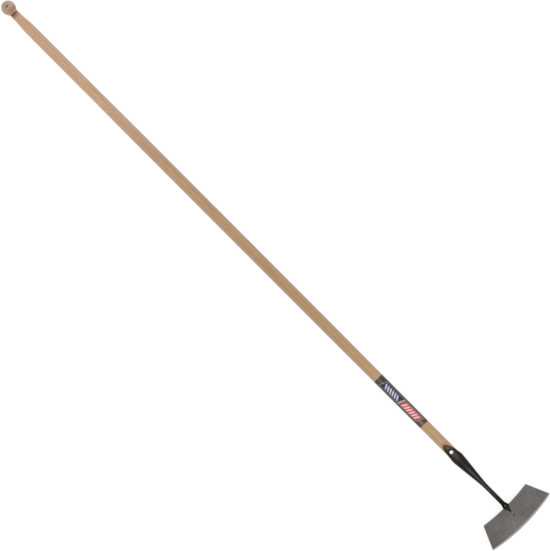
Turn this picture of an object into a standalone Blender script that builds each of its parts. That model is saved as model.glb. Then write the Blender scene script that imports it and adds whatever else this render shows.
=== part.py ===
"""Dutch hoe: turned ash handle, forged socket and neck, riveted flat blade.

The tool is modelled along its own axis first: +X runs from the ball end of
the handle to the blade, +Y is across, +Z is the side of the blade that the
neck lies on, and X = 0 is the very end of the ball. An empty then lays the
whole tool on the ground, where it rests on the ball and on the middle of the
blade's front edge, centred over the origin.
"""
import math

import bmesh
import bpy
from mathutils import Matrix, Vector

MM = 0.001

# ---------------------------------------------------------------- dimensions
GAP = 0.3                    # clearance between pieces that touch, mm

# handle
HANDLE_LENGTH = 1600.0
BALL_RADIUS = 17.2
BALL_MIDDLE = 18.6           # widest station of the ball
BALL_BACK = 19.6             # half length of the ball towards the shaft
BALL_FOOT = 33.8             # station where the ball meets the thin neck
GROOVE_AT = 38.1
GROOVE_WIDTH = 2.2
GROOVE_DEPTH = 0.7
SHAFT = [                    # (station, radius) along the turned shaft
    (36.2, 10.45), (46.0, 10.75), (57.0, 10.95), (68.0, 11.75), (80.0, 12.7),
    (88.0, 13.15), (136.0, 13.4), (330.0, 13.45), (430.0, 13.9),
    (500.0, 14.0), (1060.0, 14.0), (1200.0, 13.75), (1286.0, 13.4),
    (1445.0, 13.05), (1500.0, 13.0), (1600.0, 13.0)]
HANDLE_STEPS = 32

# label sleeve
LABEL_START = 1286.0
LABEL_END = 1444.0
LABEL_THICKNESS = 0.25

# socket and neck
LAPEL_TIP = 1514.3
SOCKET_MOUTH = 1560.3
SOCKET_WALL = 2.2
LAPEL_TIP_WALL = 1.0
SLIT_END = 1618.0            # the open seam underneath ends here
HOLLOW_END = 1631.0
NECK_RADIUS = 5.7
SOCKET_OUTER = [             # (station, outer radius)
    (1560.3, 15.33), (1567.6, 14.6), (1579.7, 13.27), (1591.8, 11.95),
    (1604.0, 10.65), (1616.1, 9.33), (1628.2, 8.0), (1640.3, 6.75),
    (1648.0, 6.15), (1656.0, 5.75), (1664.0, 5.7)]
LAPEL_SWEEP = [              # (distance from the tip, half angle it covers)
    (0.0, 0.0), (1.5, 11.0), (4.1, 20.0), (11.4, 35.0), (19.2, 49.0),
    (28.5, 62.0), (35.8, 75.0), (41.0, 86.0), (44.5, 99.0), (47.0, 122.0),
    (49.5, 150.0), (52.5, 170.0), (56.0, 175.5)]
SOCKET_SIDES = 36

# bend and leaf
BEND_START = 1701.0
BEND_RADIUS = 16.0
BLADE_ANGLE = math.radians(30.0)
LEAF = [                     # (projected station, half width)
    (1701.0, 5.7), (1714.0, 5.75), (1717.0, 6.3), (1719.5, 7.3),
    (1722.5, 8.15), (1725.4, 8.35), (1727.6, 7.5), (1730.0, 6.3),
    (1732.5, 5.4), (1734.9, 4.55), (1737.3, 3.55), (1739.7, 2.6),
    (1742.2, 1.55), (1744.6, 0.5)]
LEAF_TIP = 1744.6
LEAF_THICKNESS = 4.6         # at the rivet
LEAF_TIP_THICKNESS = 1.3
LEAF_RIM = 1.5               # height of the leaf's edge over its underside
LEAF_UNDER = 2.0             # leaf centre line to its flat underside

# blade
BLADE_THICKNESS = 2.2
BLADE_DEPTH = 75.3           # rear edge to front edge at the middle
BLADE_REAR_AT = 1725.5       # projected station of the rear edge's middle
REAR_HALF = 72.0
FRONT_HALF = 97.9
REAR_RADIUS = 450.0
FRONT_RADIUS = 410.0
BEVEL_MIDDLE = 8.0
BEVEL_ENDS = 5.6
EDGE_LAND = 0.35
LUG_RADIUS = 6.2

# rivet and nail
RIVET_AT = 1721.9
RIVET_HEAD = 4.6
RIVET_HEIGHT = 3.0
RIVET_SHANK = 2.5
RIVET_TAIL = 3.9
NAIL_AT = 1538.8
NAIL_HEAD = 4.85
NAIL_HEIGHT = 2.3
NAIL_SHANK = 2.0
NAIL_REACH = 19.0


# ---------------------------------------------------------------- functions
def smooth_through(points):
    """Monotone cubic curve through (x, y) control points, as a function."""
    xs = [p[0] for p in points]
    ys = [p[1] for p in points]
    n = len(xs)
    step = [xs[i + 1] - xs[i] for i in range(n - 1)]
    rise = [(ys[i + 1] - ys[i]) / step[i] for i in range(n - 1)]
    slope = [rise[0]] + [0.0] * (n - 2) + [rise[-1]]
    for i in range(1, n - 1):
        if rise[i - 1] * rise[i] > 0:
            w1 = 2 * step[i] + step[i - 1]
            w2 = step[i] + 2 * step[i - 1]
            slope[i] = (w1 + w2) / (w1 / rise[i - 1] + w2 / rise[i])

    def value(x):
        if x <= xs[0]:
            return ys[0]
        if x >= xs[-1]:
            return ys[-1]
        i = max(k for k in range(n - 1) if xs[k] <= x)
        h = step[i]
        t = (x - xs[i]) / h
        return ((2 * t ** 3 - 3 * t ** 2 + 1) * ys[i]
                + (t ** 3 - 2 * t ** 2 + t) * h * slope[i]
                + (-2 * t ** 3 + 3 * t ** 2) * ys[i + 1]
                + (t ** 3 - t ** 2) * h * slope[i + 1])
    return value


def ease(t):
    t = min(1.0, max(0.0, t))
    return t * t * (3 - 2 * t)


def spread(a, b, count):
    return [a + (b - a) * i / count for i in range(count + 1)]


shaft_radius = smooth_through(SHAFT)
socket_outer = smooth_through(SOCKET_OUTER)
lapel_sweep = smooth_through(LAPEL_SWEEP)
leaf_half_width = smooth_through(LEAF)


def wood_radius(x):
    """Radius of the wooden handle at a station."""
    if x < BALL_MIDDLE:
        return BALL_RADIUS * math.sqrt(max(0.0, 1 - (1 - x / BALL_MIDDLE) ** 2))
    if x < BALL_FOOT:
        return BALL_RADIUS * math.sqrt(
            1 - ((x - BALL_MIDDLE) / BALL_BACK) ** 2)
    radius = shaft_radius(x)
    offset = abs(x - GROOVE_AT) / (GROOVE_WIDTH / 2)
    if offset < 1:
        radius -= GROOVE_DEPTH * math.cos(offset * math.pi / 2)
    if x > SOCKET_MOUTH - 4:
        radius = min(radius, socket_outer(x) - SOCKET_WALL - GAP)
    return radius


def hollow_radius(x):
    """Inside radius of the socket."""
    if x < SOCKET_MOUTH:
        return wood_radius(x) + GAP
    radius = socket_outer(x) - SOCKET_WALL
    if x > SLIT_END:
        radius *= math.sqrt(max(0.0, 1 - ((x - SLIT_END)
                                          / (HOLLOW_END - SLIT_END)) ** 2))
    return radius


def half_sweep(x):
    """Half angle, from the top, that the socket covers at a station."""
    if x >= SLIT_END:
        return math.pi
    sweep = math.radians(lapel_sweep(x - LAPEL_TIP))
    if x > LAPEL_TIP + 40:
        slit = 0.45 + 0.75 * (SLIT_END - x) / (SLIT_END - SOCKET_MOUTH)
        slit *= min(1.0, math.sqrt(max(0.0, (SLIT_END - x) / 3.0)))
        sweep = min(sweep, math.pi - slit / socket_outer(x))
    return sweep


def wall(x, angle):
    """Wall of the socket: thin at the lapel's tip and feathered at its edge."""
    if x >= SLIT_END:
        return socket_outer(x) - hollow_radius(x)
    middle = LAPEL_TIP_WALL + (SOCKET_WALL - LAPEL_TIP_WALL) * ease(
        (x - LAPEL_TIP) / (SOCKET_MOUTH - LAPEL_TIP - 4))
    in_from_edge = 14.0 * (half_sweep(x) - abs(angle))
    in_from_edge = min(in_from_edge, (x - LAPEL_TIP) * 0.8)
    reach = 5.0 if x < SOCKET_MOUTH - 6 else 5.0 - 3.8 * ease(
        (x - SOCKET_MOUTH + 6) / 8)
    least = 0.42 if x < SOCKET_MOUTH else 0.8
    return middle * (least + (1 - least) * ease(in_from_edge / reach))


# ------------------------------------------------------------- scene helpers
for old in list(bpy.data.objects):
    bpy.data.objects.remove(old, do_unlink=True)

parts = bpy.data.collections.new("dutch_hoe")
cutters = bpy.data.collections.new("cutters")
bpy.context.scene.collection.children.link(parts)
bpy.context.scene.collection.children.link(cutters)

tool = bpy.data.objects.new("tool_axis", None)
tool.empty_display_size = 0.1
parts.objects.link(tool)


def material(name, colour, roughness, metallic):
    mat = bpy.data.materials.new(name)
    mat.use_nodes = True
    shader = mat.node_tree.nodes["Principled BSDF"]
    shader.inputs["Base Color"].default_value = (*colour, 1.0)
    shader.inputs["Roughness"].default_value = roughness
    shader.inputs["Metallic"].default_value = metallic
    mat.diffuse_color = (*colour, 1.0)
    return mat


def add_part(name, mesh, mat, smooth=40.0):
    mesh.shade_smooth()
    mesh.set_sharp_from_angle(angle=math.radians(smooth))
    mesh.materials.append(mat)
    obj = bpy.data.objects.new(name, mesh)
    parts.objects.link(obj)
    obj.parent = tool
    return obj


def add_cutter(name, mesh):
    obj = bpy.data.objects.new(name, mesh)
    cutters.objects.link(obj)
    obj.parent = tool
    obj.hide_render = True
    obj.display_type = 'WIRE'
    return obj


def cut(obj, cutter):
    mod = obj.modifiers.new("cut_" + cutter.name, 'BOOLEAN')
    mod.operation = 'DIFFERENCE'
    mod.solver = 'EXACT'
    mod.object = cutter


def profile_mesh(name, points):
    """Open profile in the XZ plane, in metres, for a Screw modifier."""
    mesh = bpy.data.meshes.new(name)
    verts = [(r * MM, 0.0, z * MM) for r, z in points]
    mesh.from_pydata(verts, [(i, i + 1) for i in range(len(verts) - 1)], [])
    return mesh


def turn(obj, steps):
    """Turn the object's profile about its own Z axis."""
    mod = obj.modifiers.new("turned", 'SCREW')
    mod.axis = 'Z'
    mod.angle = 2 * math.pi
    mod.steps = steps
    mod.render_steps = steps
    mod.use_merge_vertices = True
    mod.merge_threshold = 0.00002
    mod.use_smooth_shade = True


# -------------------------------------------------------------------- handle
ash = material("ash_wood", (0.50, 0.32, 0.18), 0.5, 0.0)

stations = [BALL_MIDDLE * (1 - math.cos(math.pi / 2 * i / 9))
            for i in range(1, 10)]
stations += spread(BALL_MIDDLE, BALL_FOOT, 7)[1:]
stations += [36.2, GROOVE_AT - 1.1, GROOVE_AT - 0.55, GROOVE_AT,
             GROOVE_AT + 0.55, GROOVE_AT + 1.1, 46.0, 57.0, 62.0, 68.0, 74.0,
             80.0, 84.0, 88.0, 100.0, 136.0, 330.0, 380.0, 430.0, 500.0,
             780.0, 1060.0, 1130.0, 1200.0, 1243.0, 1286.0, 1445.0, 1500.0,
             SOCKET_MOUTH - 2.0, 1570.0, 1585.0, HANDLE_LENGTH - 1.5]
outline = [(wood_radius(x), x) for x in stations]
outline.append((wood_radius(HANDLE_LENGTH) - 1.5, HANDLE_LENGTH))
outline = [(0.0, 0.0)] + outline + [(0.0, HANDLE_LENGTH)]
handle = add_part("handle", profile_mesh("handle", outline[::-1]), ash)
handle.rotation_euler = (0.0, math.pi / 2, 0.0)
turn(handle, HANDLE_STEPS)

# -------------------------------------------------------------- label sleeve
film = material("label_film", (0.07, 0.075, 0.085), 0.25, 0.0)
sleeve_points = []
for x in spread(LABEL_END, LABEL_START, 4):
    sleeve_points.append((wood_radius(x) + GAP + LABEL_THICKNESS, x))
for x in spread(LABEL_START, LABEL_END, 4):
    sleeve_points.append((wood_radius(x) + GAP, x))
sleeve_points.append(sleeve_points[0])
sleeve_mesh = bpy.data.meshes.new("label_sleeve")
ring = [(r * MM, 0.0, z * MM) for r, z in sleeve_points[:-1]]
sleeve_mesh.from_pydata(
    ring, [(i, (i + 1) % len(ring)) for i in range(len(ring))], [])
sleeve = add_part("label_sleeve", sleeve_mesh, film)
sleeve.rotation_euler = (0.0, math.pi / 2, 0.0)
turn(sleeve, HANDLE_STEPS)

# ----------------------------------------------------------- socket and neck
black = material("black_paint", (0.022, 0.020, 0.018), 0.45, 0.0)
slope = Vector((math.cos(BLADE_ANGLE), 0.0, -math.sin(BLADE_ANGLE)))
upward = Vector((math.sin(BLADE_ANGLE), 0.0, math.cos(BLADE_ANGLE)))
bend_end = Vector((BEND_START + BEND_RADIUS * math.sin(BLADE_ANGLE), 0.0,
                   -BEND_RADIUS * (1 - math.cos(BLADE_ANGLE))))


def leaf_point(x):
    """Point of the leaf's centre line over a projected station."""
    return bend_end + slope * ((x - bend_end.x) / slope.x)


def tube_ring(x, radius_of, open_seam):
    """Points of one socket section, from one edge over the top to the other."""
    half = half_sweep(x)
    count = SOCKET_SIDES if open_seam else SOCKET_SIDES - 1
    ring = []
    for k in range(count + 1):
        angle = -half + 2 * half * k / SOCKET_SIDES
        radius = radius_of(x, angle)
        ring.append(Vector((x, radius * math.sin(angle),
                            radius * math.cos(angle))))
    return ring


def outer_of(x, angle):
    if x >= SLIT_END:
        return socket_outer(x)
    return hollow_radius(x) + wall(x, angle)


def inner_of(x, angle):
    return hollow_radius(x)


def flattening(x):
    """0 where the neck is still round, 1 where it is beaten flat."""
    return ease((x - BEND_START - 2.0) / (RIVET_AT - 5.4 - BEND_START))


def flattened_ring(x, centre, up):
    """Section across the bend and the leaf: flat below, low ridge on top."""
    flat = flattening(x)
    tip = max(0.0, (x - RIVET_AT - 3.0) / (LEAF_TIP - RIVET_AT - 3.0))
    half = leaf_half_width(x)
    under = NECK_RADIUS + (LEAF_UNDER - NECK_RADIUS) * flat
    ridge = NECK_RADIUS + (LEAF_THICKNESS - LEAF_UNDER - NECK_RADIUS) * flat \
        - (LEAF_THICKNESS - LEAF_TIP_THICKNESS) * tip
    # height of the widest point, which sinks towards the blade
    rim = flat * (-LEAF_UNDER + LEAF_RIM * (1 - 0.7 * tip))
    over_power = 1.0 - 0.5 * flat + 0.6 * ease(tip * 1.5)
    under_power = 1.0 - 0.72 * flat
    ring = []
    for k in range(SOCKET_SIDES):
        angle = -math.pi + 2 * math.pi * k / SOCKET_SIDES
        c = math.cos(angle)
        if c >= 0:
            z = rim + (ridge - rim) * c ** over_power
        else:
            z = rim - (under + rim) * abs(c) ** under_power
        ring.append(centre + Vector((0.0, half * math.sin(angle), 0.0))
                    + up * z)
    return ring


open_stations = [LAPEL_TIP + d for d in (
    1.5, 4.1, 8.0, 12.0, 17.0, 22.0, 27.0, 32.0, 36.0, 39.5, 42.0, 44.0,
    45.6, 47.0, 48.4, 50.0, 52.0, 55.0)]
open_stations += [1575.0, 1584.0, 1593.0, 1601.0, 1608.0, 1613.0, 1616.0]
hollow_stations = [SLIT_END, 1622.0, 1626.0, 1629.0, 1630.4]
solid_stations = [SLIT_END, 1624.0, 1631.0, 1637.0, 1643.0, 1649.0, 1655.0,
                  1662.0, 1682.0, BEND_START]

mesh = bpy.data.meshes.new("socket_neck")
bm = bmesh.new()


def add_ring(points):
    return [bm.verts.new(p * MM) for p in points]


def quad_rows(a, b, closed, flip):
    """Skin between two rings of equal length."""
    count = len(a) if closed else len(a) - 1
    for k in range(count):
        j = (k + 1) % len(a)
        face = [a[k], a[j], b[j], b[k]]
        bm.faces.new(face[::-1] if flip else face)


outer_rows = [add_ring(tube_ring(x, outer_of, True)) for x in open_stations]
inner_rows = [add_ring(tube_ring(x, inner_of, True)) for x in open_stations]
outer_tip = bm.verts.new(Vector((LAPEL_TIP, 0.0, hollow_radius(LAPEL_TIP)
                                 + wall(LAPEL_TIP, 0.0))) * MM)
inner_tip = bm.verts.new(Vector((LAPEL_TIP, 0.0,
                                 hollow_radius(LAPEL_TIP))) * MM)
solid_rows = [add_ring(tube_ring(x, outer_of, False)) for x in solid_stations]
hollow_rows = [add_ring(tube_ring(x, inner_of, False))
               for x in hollow_stations]
inner_pole = bm.verts.new(Vector((HOLLOW_END, 0.0, 0.0)) * MM)

# lapel tip
for k in range(SOCKET_SIDES):
    bm.faces.new([outer_tip, outer_rows[0][k + 1], outer_rows[0][k]])
    bm.faces.new([inner_tip, inner_rows[0][k], inner_rows[0][k + 1]])
for side, first in ((0, True), (-1, False)):
    strip = [outer_tip, outer_rows[0][side], inner_rows[0][side], inner_tip]
    bm.faces.new(strip if first else strip[::-1])
# open part of the socket
for a, b in zip(outer_rows, outer_rows[1:]):
    quad_rows(a, b, False, False)
for a, b in zip(inner_rows, inner_rows[1:]):
    quad_rows(a, b, False, True)
for i in range(len(outer_rows) - 1):
    for side, first in ((0, True), (-1, False)):
        strip = [outer_rows[i][side], outer_rows[i + 1][side],
                 inner_rows[i + 1][side], inner_rows[i][side]]
        bm.faces.new(strip if first else strip[::-1])
# the seam closes
quad_rows(outer_rows[-1], solid_rows[0] + [solid_rows[0][0]], False, False)
quad_rows(inner_rows[-1], hollow_rows[0] + [hollow_rows[0][0]], False, True)
for side, first in ((0, True), (-1, False)):
    strip = [outer_rows[-1][side], solid_rows[0][0],
             hollow_rows[0][0], inner_rows[-1][side]]
    bm.faces.new(strip if first else strip[::-1])
for a, b in zip(solid_rows, solid_rows[1:]):
    quad_rows(a, b, True, False)
for a, b in zip(hollow_rows, hollow_rows[1:]):
    quad_rows(a, b, True, True)
for k in range(SOCKET_SIDES):
    j = (k + 1) % SOCKET_SIDES
    bm.faces.new([hollow_rows[-1][j], hollow_rows[-1][k], inner_pole])
# bend of the neck
last = solid_rows[-1]
for i in range(1, 7):
    turned = BLADE_ANGLE * i / 6
    centre = Vector((BEND_START + BEND_RADIUS * math.sin(turned), 0.0,
                     -BEND_RADIUS * (1 - math.cos(turned))))
    up = Vector((math.sin(turned), 0.0, math.cos(turned)))
    ring = add_ring(flattened_ring(centre.x, centre, up))
    quad_rows(last, ring, True, False)
    last = ring
# leaf
for x in [1711.0, 1713.0, 1715.0, 1717.0, 1719.5, 1722.5, 1725.4, 1727.6,
          1730.0, 1733.0, 1736.0, 1739.0, 1742.0, LEAF_TIP - 0.5]:
    ring = add_ring(flattened_ring(x, leaf_point(x), upward))
    quad_rows(last, ring, True, False)
    last = ring
leaf_tip = bm.verts.new((leaf_point(LEAF_TIP) + upward
                         * (-LEAF_UNDER + LEAF_TIP_THICKNESS / 3)) * MM)
for k in range(SOCKET_SIDES):
    bm.faces.new([last[k], last[(k + 1) % SOCKET_SIDES], leaf_tip])
bmesh.ops.recalc_face_normals(bm, faces=bm.faces)
bm.to_mesh(mesh)
bm.free()
socket = add_part("socket_neck", mesh, black, 50.0)

# --------------------------------------------------------------------- blade
steel = material("tempered_steel", (0.13, 0.125, 0.12), 0.42, 0.9)
blade_zero = Vector((BLADE_REAR_AT, 0.0, leaf_point(BLADE_REAR_AT).z
                     - (LEAF_UNDER + GAP) / math.cos(BLADE_ANGLE)))


def blade_point(along, across, height):
    """Blade coordinates: down the slope, across, and up from its top face."""
    return blade_zero + slope * along + Vector((0.0, across, 0.0)) \
        + upward * height


def rear_edge(y):
    return -(REAR_RADIUS - math.sqrt(REAR_RADIUS ** 2 - y * y))


def front_edge(y):
    return BLADE_DEPTH - (FRONT_RADIUS - math.sqrt(FRONT_RADIUS ** 2 - y * y))


def round_corner(p0, p1, p2, radius, count):
    """Arc of a given radius that replaces the corner p1 of a polyline."""
    a = (Vector(p0) - Vector(p1)).normalized()
    b = (Vector(p2) - Vector(p1)).normalized()
    half = math.acos(max(-1.0, min(1.0, a.dot(b)))) / 2
    centre = Vector(p1) + (a + b).normalized() * (radius / math.sin(half))
    start = Vector(p1) + a * (radius / math.tan(half)) - centre
    end = Vector(p1) + b * (radius / math.tan(half)) - centre
    total = math.pi - 2 * half
    points = []
    for i in range(count + 1):
        f = i / count
        v = (start * math.sin((1 - f) * total) + end * math.sin(f * total)) \
            / math.sin(total)
        points.append(tuple(centre + v))
    return points


rivet_along = (RIVET_AT - (LEAF_UNDER + GAP) * upward.x - BLADE_REAR_AT) \
    / slope.x


def blade_outline():
    """Right half of the outline, lug to front: (along, across, on front)."""
    half = []
    for i in range(8):                       # round lug under the leaf
        angle = math.radians(100.0) * i / 7
        half.append((rivet_along - LUG_RADIUS * math.cos(angle),
                     LUG_RADIUS * math.sin(angle), 0.0))
    half.append((rear_edge(7.4) - 1.0, 6.6, 0.0))
    half.append((rear_edge(8.6), 8.6, 0.0))
    for y in spread(8.6, REAR_HALF - 2.5, 8)[1:]:
        half.append((rear_edge(y), y, 0.0))
    rear = (rear_edge(REAR_HALF), REAR_HALF)
    front = (front_edge(FRONT_HALF), FRONT_HALF)
    for p in round_corner((rear_edge(REAR_HALF - 2), REAR_HALF - 2), rear,
                          front, 1.5, 3):
        half.append((p[0], p[1], 0.0))
    for p in round_corner(rear, front, (front_edge(FRONT_HALF - 4),
                                        FRONT_HALF - 4), 4.0, 5):
        half.append((p[0], p[1], 1.0))
    for y in spread(FRONT_HALF - 6.0, 0.0, 14):
        half.append((front_edge(y), y, 1.0))
    return half


half = blade_outline()
loop = half + [(a, -y, w) for a, y, w in reversed(half[1:-1])]

mesh = bpy.data.meshes.new("blade")
bm = bmesh.new()


def ground_back(a, y, w):
    """Where the top face starts, behind the ground bevel."""
    if not w:
        return a, y
    v = y / FRONT_HALF
    to_rear = Vector((rear_edge(v * REAR_HALF) - front_edge(y),
                      v * REAR_HALF - y)).normalized()
    width = BEVEL_MIDDLE + (BEVEL_ENDS - BEVEL_MIDDLE) * abs(v) ** 1.5
    return a + to_rear.x * width, y + to_rear.y * width


bottom = [bm.verts.new(blade_point(a, y, -BLADE_THICKNESS) * MM)
          for a, y, w in loop]
land = [bm.verts.new(blade_point(a, y, -BLADE_THICKNESS + EDGE_LAND) * MM)
        for a, y, w in loop]
top = []
for a, y, w in loop:
    a2, y2 = ground_back(a, y, w)
    top.append(bm.verts.new(blade_point(a2, y2, 0.0) * MM))
quad_rows(bottom, land, True, False)
quad_rows(land, top, True, False)
bm.faces.new(bottom[::-1])
bm.faces.new(top)
bmesh.ops.recalc_face_normals(bm, faces=bm.faces)
bm.to_mesh(mesh)
bm.free()
blade = add_part("blade", mesh, steel, 12.0)

# --------------------------------------------------------------------- rivet
leaf_top = LEAF_THICKNESS - LEAF_UNDER + GAP
under_blade = LEAF_UNDER + GAP + BLADE_THICKNESS


def rivet_profile(grow):
    """Half section of the rivet, top to bottom; grow widens it for a hole."""
    shoulder = -LEAF_UNDER - GAP - 0.5
    if grow:
        return [(0.0, 8.0), (RIVET_SHANK + grow, 8.0),
                (RIVET_SHANK + grow, shoulder),
                (RIVET_TAIL + grow, -under_blade),
                (RIVET_TAIL + grow, -under_blade - 2.0),
                (0.0, -under_blade - 2.0)]
    points = []
    for i in range(8):
        angle = math.pi / 2 * i / 7
        points.append((RIVET_HEAD * math.sin(angle),
                       leaf_top + 0.3 + (RIVET_HEIGHT - 0.3)
                       * math.cos(angle)))
    points += [(RIVET_HEAD - 0.25, leaf_top), (RIVET_SHANK, leaf_top),
               (RIVET_SHANK, shoulder - 0.1), (RIVET_TAIL, -under_blade + 0.12),
               (0.0, -under_blade + 0.12)]
    return points


def stand_on_leaf(obj):
    obj.location = leaf_point(RIVET_AT) * MM
    obj.rotation_euler = (0.0, BLADE_ANGLE, 0.0)


rivet = add_part("blade_rivet", profile_mesh("blade_rivet", rivet_profile(0)),
                 black)
stand_on_leaf(rivet)
turn(rivet, 24)
rivet_hole = add_cutter("rivet_hole", profile_mesh("rivet_hole",
                                                   rivet_profile(GAP)))
stand_on_leaf(rivet_hole)
turn(rivet_hole, 24)
cut(socket, rivet_hole)
cut(blade, rivet_hole)

# ---------------------------------------------------------------------- nail
zinc = material("zinc", (0.75, 0.74, 0.71), 0.3, 0.9)
nail_seat = hollow_radius(NAIL_AT) + wall(NAIL_AT, 0.0) + GAP
nail_points = []
for i in range(8):
    angle = math.pi / 2 * i / 7
    nail_points.append((NAIL_HEAD * math.sin(angle), nail_seat + 0.35
                        + (NAIL_HEIGHT - 0.35) * math.cos(angle)))
nail_points += [(NAIL_HEAD - 0.3, nail_seat), (NAIL_SHANK, nail_seat),
                (NAIL_SHANK, nail_seat - NAIL_REACH + 5.0),
                (0.0, nail_seat - NAIL_REACH)]
nail = add_part("socket_nail", profile_mesh("socket_nail", nail_points), zinc)
nail.location = (NAIL_AT * MM, 0.0, 0.0)
turn(nail, 24)
hole_points = [(0.0, 20.0), (NAIL_SHANK + GAP, 20.0),
               (NAIL_SHANK + GAP, nail_seat - NAIL_REACH + 4.5),
               (0.0, nail_seat - NAIL_REACH - 1.0)]
nail_hole = add_cutter("nail_hole", profile_mesh("nail_hole", hole_points))
nail_hole.location = (NAIL_AT * MM, 0.0, 0.0)
turn(nail_hole, 24)
cut(handle, nail_hole)
cut(socket, nail_hole)

# --------------------------------------------------- lay it on the ground
ball = [(x, wood_radius(x)) for x in stations if x < BALL_FOOT]
edge = blade_point(BLADE_DEPTH, 0.0, -BLADE_THICKNESS)
tilt = 0.0
for _ in range(40):
    low_ball = min(x * math.sin(tilt) - r * math.cos(tilt) for x, r in ball)
    tilt = math.asin((low_ball - edge.z * math.cos(tilt)) / edge.x)
ground = edge.x * math.sin(tilt) + edge.z * math.cos(tilt)
tip_edge = blade_point(BLADE_DEPTH, 0.0, -BLADE_THICKNESS + EDGE_LAND)
reach = tip_edge.x * math.cos(tilt) - tip_edge.z * math.sin(tilt)
tool.matrix_world = Matrix.Translation(
    Vector((-reach / 2, 0.0, -ground)) * MM) @ Matrix.Rotation(-tilt, 4, 'Y')
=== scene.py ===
import math

import bmesh
import bpy
import numpy as np
from mathutils import Matrix, Vector, geometry, noise


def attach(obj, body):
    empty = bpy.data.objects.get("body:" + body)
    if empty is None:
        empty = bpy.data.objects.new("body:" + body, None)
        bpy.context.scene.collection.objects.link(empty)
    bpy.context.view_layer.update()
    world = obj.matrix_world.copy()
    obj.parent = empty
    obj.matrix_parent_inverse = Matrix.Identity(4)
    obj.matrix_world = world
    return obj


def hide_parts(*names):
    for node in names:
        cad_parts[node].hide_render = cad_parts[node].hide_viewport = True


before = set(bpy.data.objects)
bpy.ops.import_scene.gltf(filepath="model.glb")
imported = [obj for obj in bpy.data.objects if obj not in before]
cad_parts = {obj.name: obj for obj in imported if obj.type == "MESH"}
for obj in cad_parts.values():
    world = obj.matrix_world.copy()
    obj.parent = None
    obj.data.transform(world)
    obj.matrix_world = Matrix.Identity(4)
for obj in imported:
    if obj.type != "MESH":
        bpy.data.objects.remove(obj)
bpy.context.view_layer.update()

MM = 0.001
TILT = 0.0207088952651776      # the tool rests on its ball and blade edge
REACH = 1790.512310739052
GROUND = -16.811154029199507
LAID = Matrix.Translation(Vector((-REACH / 2, 0.0, -GROUND)) * MM) \
    @ Matrix.Rotation(-TILT, 4, 'Y')

# ---------------------------------------------------------------- dimensions
HANDLE_LENGTH = 1600.0
BALL_RADIUS = 17.2
BALL_MIDDLE = 18.6
BALL_BACK = 19.6
BALL_FOOT = 33.8
GROOVE_AT = 38.1
GROOVE_WIDTH = 2.2
GROOVE_DEPTH = 0.7
SHAFT = [
    (36.2, 10.45), (46.0, 10.75), (57.0, 10.95), (68.0, 11.75), (80.0, 12.7),
    (88.0, 13.15), (136.0, 13.4), (330.0, 13.45), (430.0, 13.9),
    (500.0, 14.0), (1060.0, 14.0), (1200.0, 13.75), (1286.0, 13.4),
    (1445.0, 13.05), (1500.0, 13.0), (1600.0, 13.0)]
SIDES = 144                  # round the handle

LABEL_START = 1286.0
LABEL_END = 1444.0

LAPEL_TIP = 1514.3
SOCKET_MOUTH = 1560.3
SOCKET_WALL = 2.2
LAPEL_TIP_WALL = 1.0
SLIT_END = 1618.0
HOLLOW_END = 1631.0
NECK_RADIUS = 5.7
SOCKET_OUTER = [
    (1560.3, 15.33), (1567.6, 14.6), (1579.7, 13.27), (1591.8, 11.95),
    (1604.0, 10.65), (1616.1, 9.33), (1628.2, 8.0), (1640.3, 6.75),
    (1648.0, 6.15), (1656.0, 5.75), (1664.0, 5.7)]
LAPEL_SWEEP = [
    (0.0, 0.0), (1.5, 14.0), (4.1, 25.0), (9.7, 40.0), (14.5, 49.5),
    (19.3, 57.5), (24.1, 66.5), (28.9, 73.0), (33.8, 79.5), (38.6, 87.5),
    (41.5, 94.5), (44.5, 104.0), (47.0, 124.0), (49.5, 150.0),
    (52.5, 170.0), (56.0, 175.5)]
AROUND = 108                 # columns round the socket and the neck
PACKED_GAP = 0.3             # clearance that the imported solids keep
CLOSE = 0.04                 # clearance between the fine pieces

BEND_START = 1701.0
BEND_RADIUS = 16.0
BLADE_ANGLE = math.radians(30.0)
LEAF = [
    (1701.0, 5.7), (1714.0, 5.75), (1717.0, 6.3), (1719.5, 7.3),
    (1722.5, 8.15), (1725.4, 8.35), (1727.6, 7.5), (1730.0, 6.3),
    (1732.5, 5.4), (1734.9, 4.55), (1737.3, 3.55), (1739.7, 2.6),
    (1742.2, 1.55), (1744.6, 0.5)]
LEAF_TIP = 1744.6
LEAF_THICKNESS = 4.6
LEAF_TIP_THICKNESS = 1.3
LEAF_RIM = 1.5
LEAF_UNDER = 2.0

BLADE_THICKNESS = 2.2
BLADE_DEPTH = 75.3
BLADE_REAR_AT = 1725.5
REAR_HALF = 72.0
FRONT_HALF = 97.89
REAR_RADIUS = 450.0
FRONT_RADIUS = 410.0
BEVEL_MIDDLE = 7.6
BEVEL_ENDS = 4.6
EDGE_LAND = 0.35
LUG_RADIUS = 6.2
DIMPLE = (33.2, -0.1, 3.5, 0.75)     # along, across, radius, depth

RIVET_AT = 1721.9
RIVET_HEAD = 4.6
RIVET_HEIGHT = 3.0
RIVET_SHANK = 2.5
RIVET_TAIL = 3.9
NAIL_AT = 1538.3
NAIL_SIDE = -0.8             # driven a little to one side of the middle
NAIL_HEAD = 4.9
NAIL_HEIGHT = 2.3
NAIL_SHANK = 2.0
NAIL_REACH = 19.0
DENT = (1531.9, -0.8)        # along and across, left by the nail punch


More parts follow.
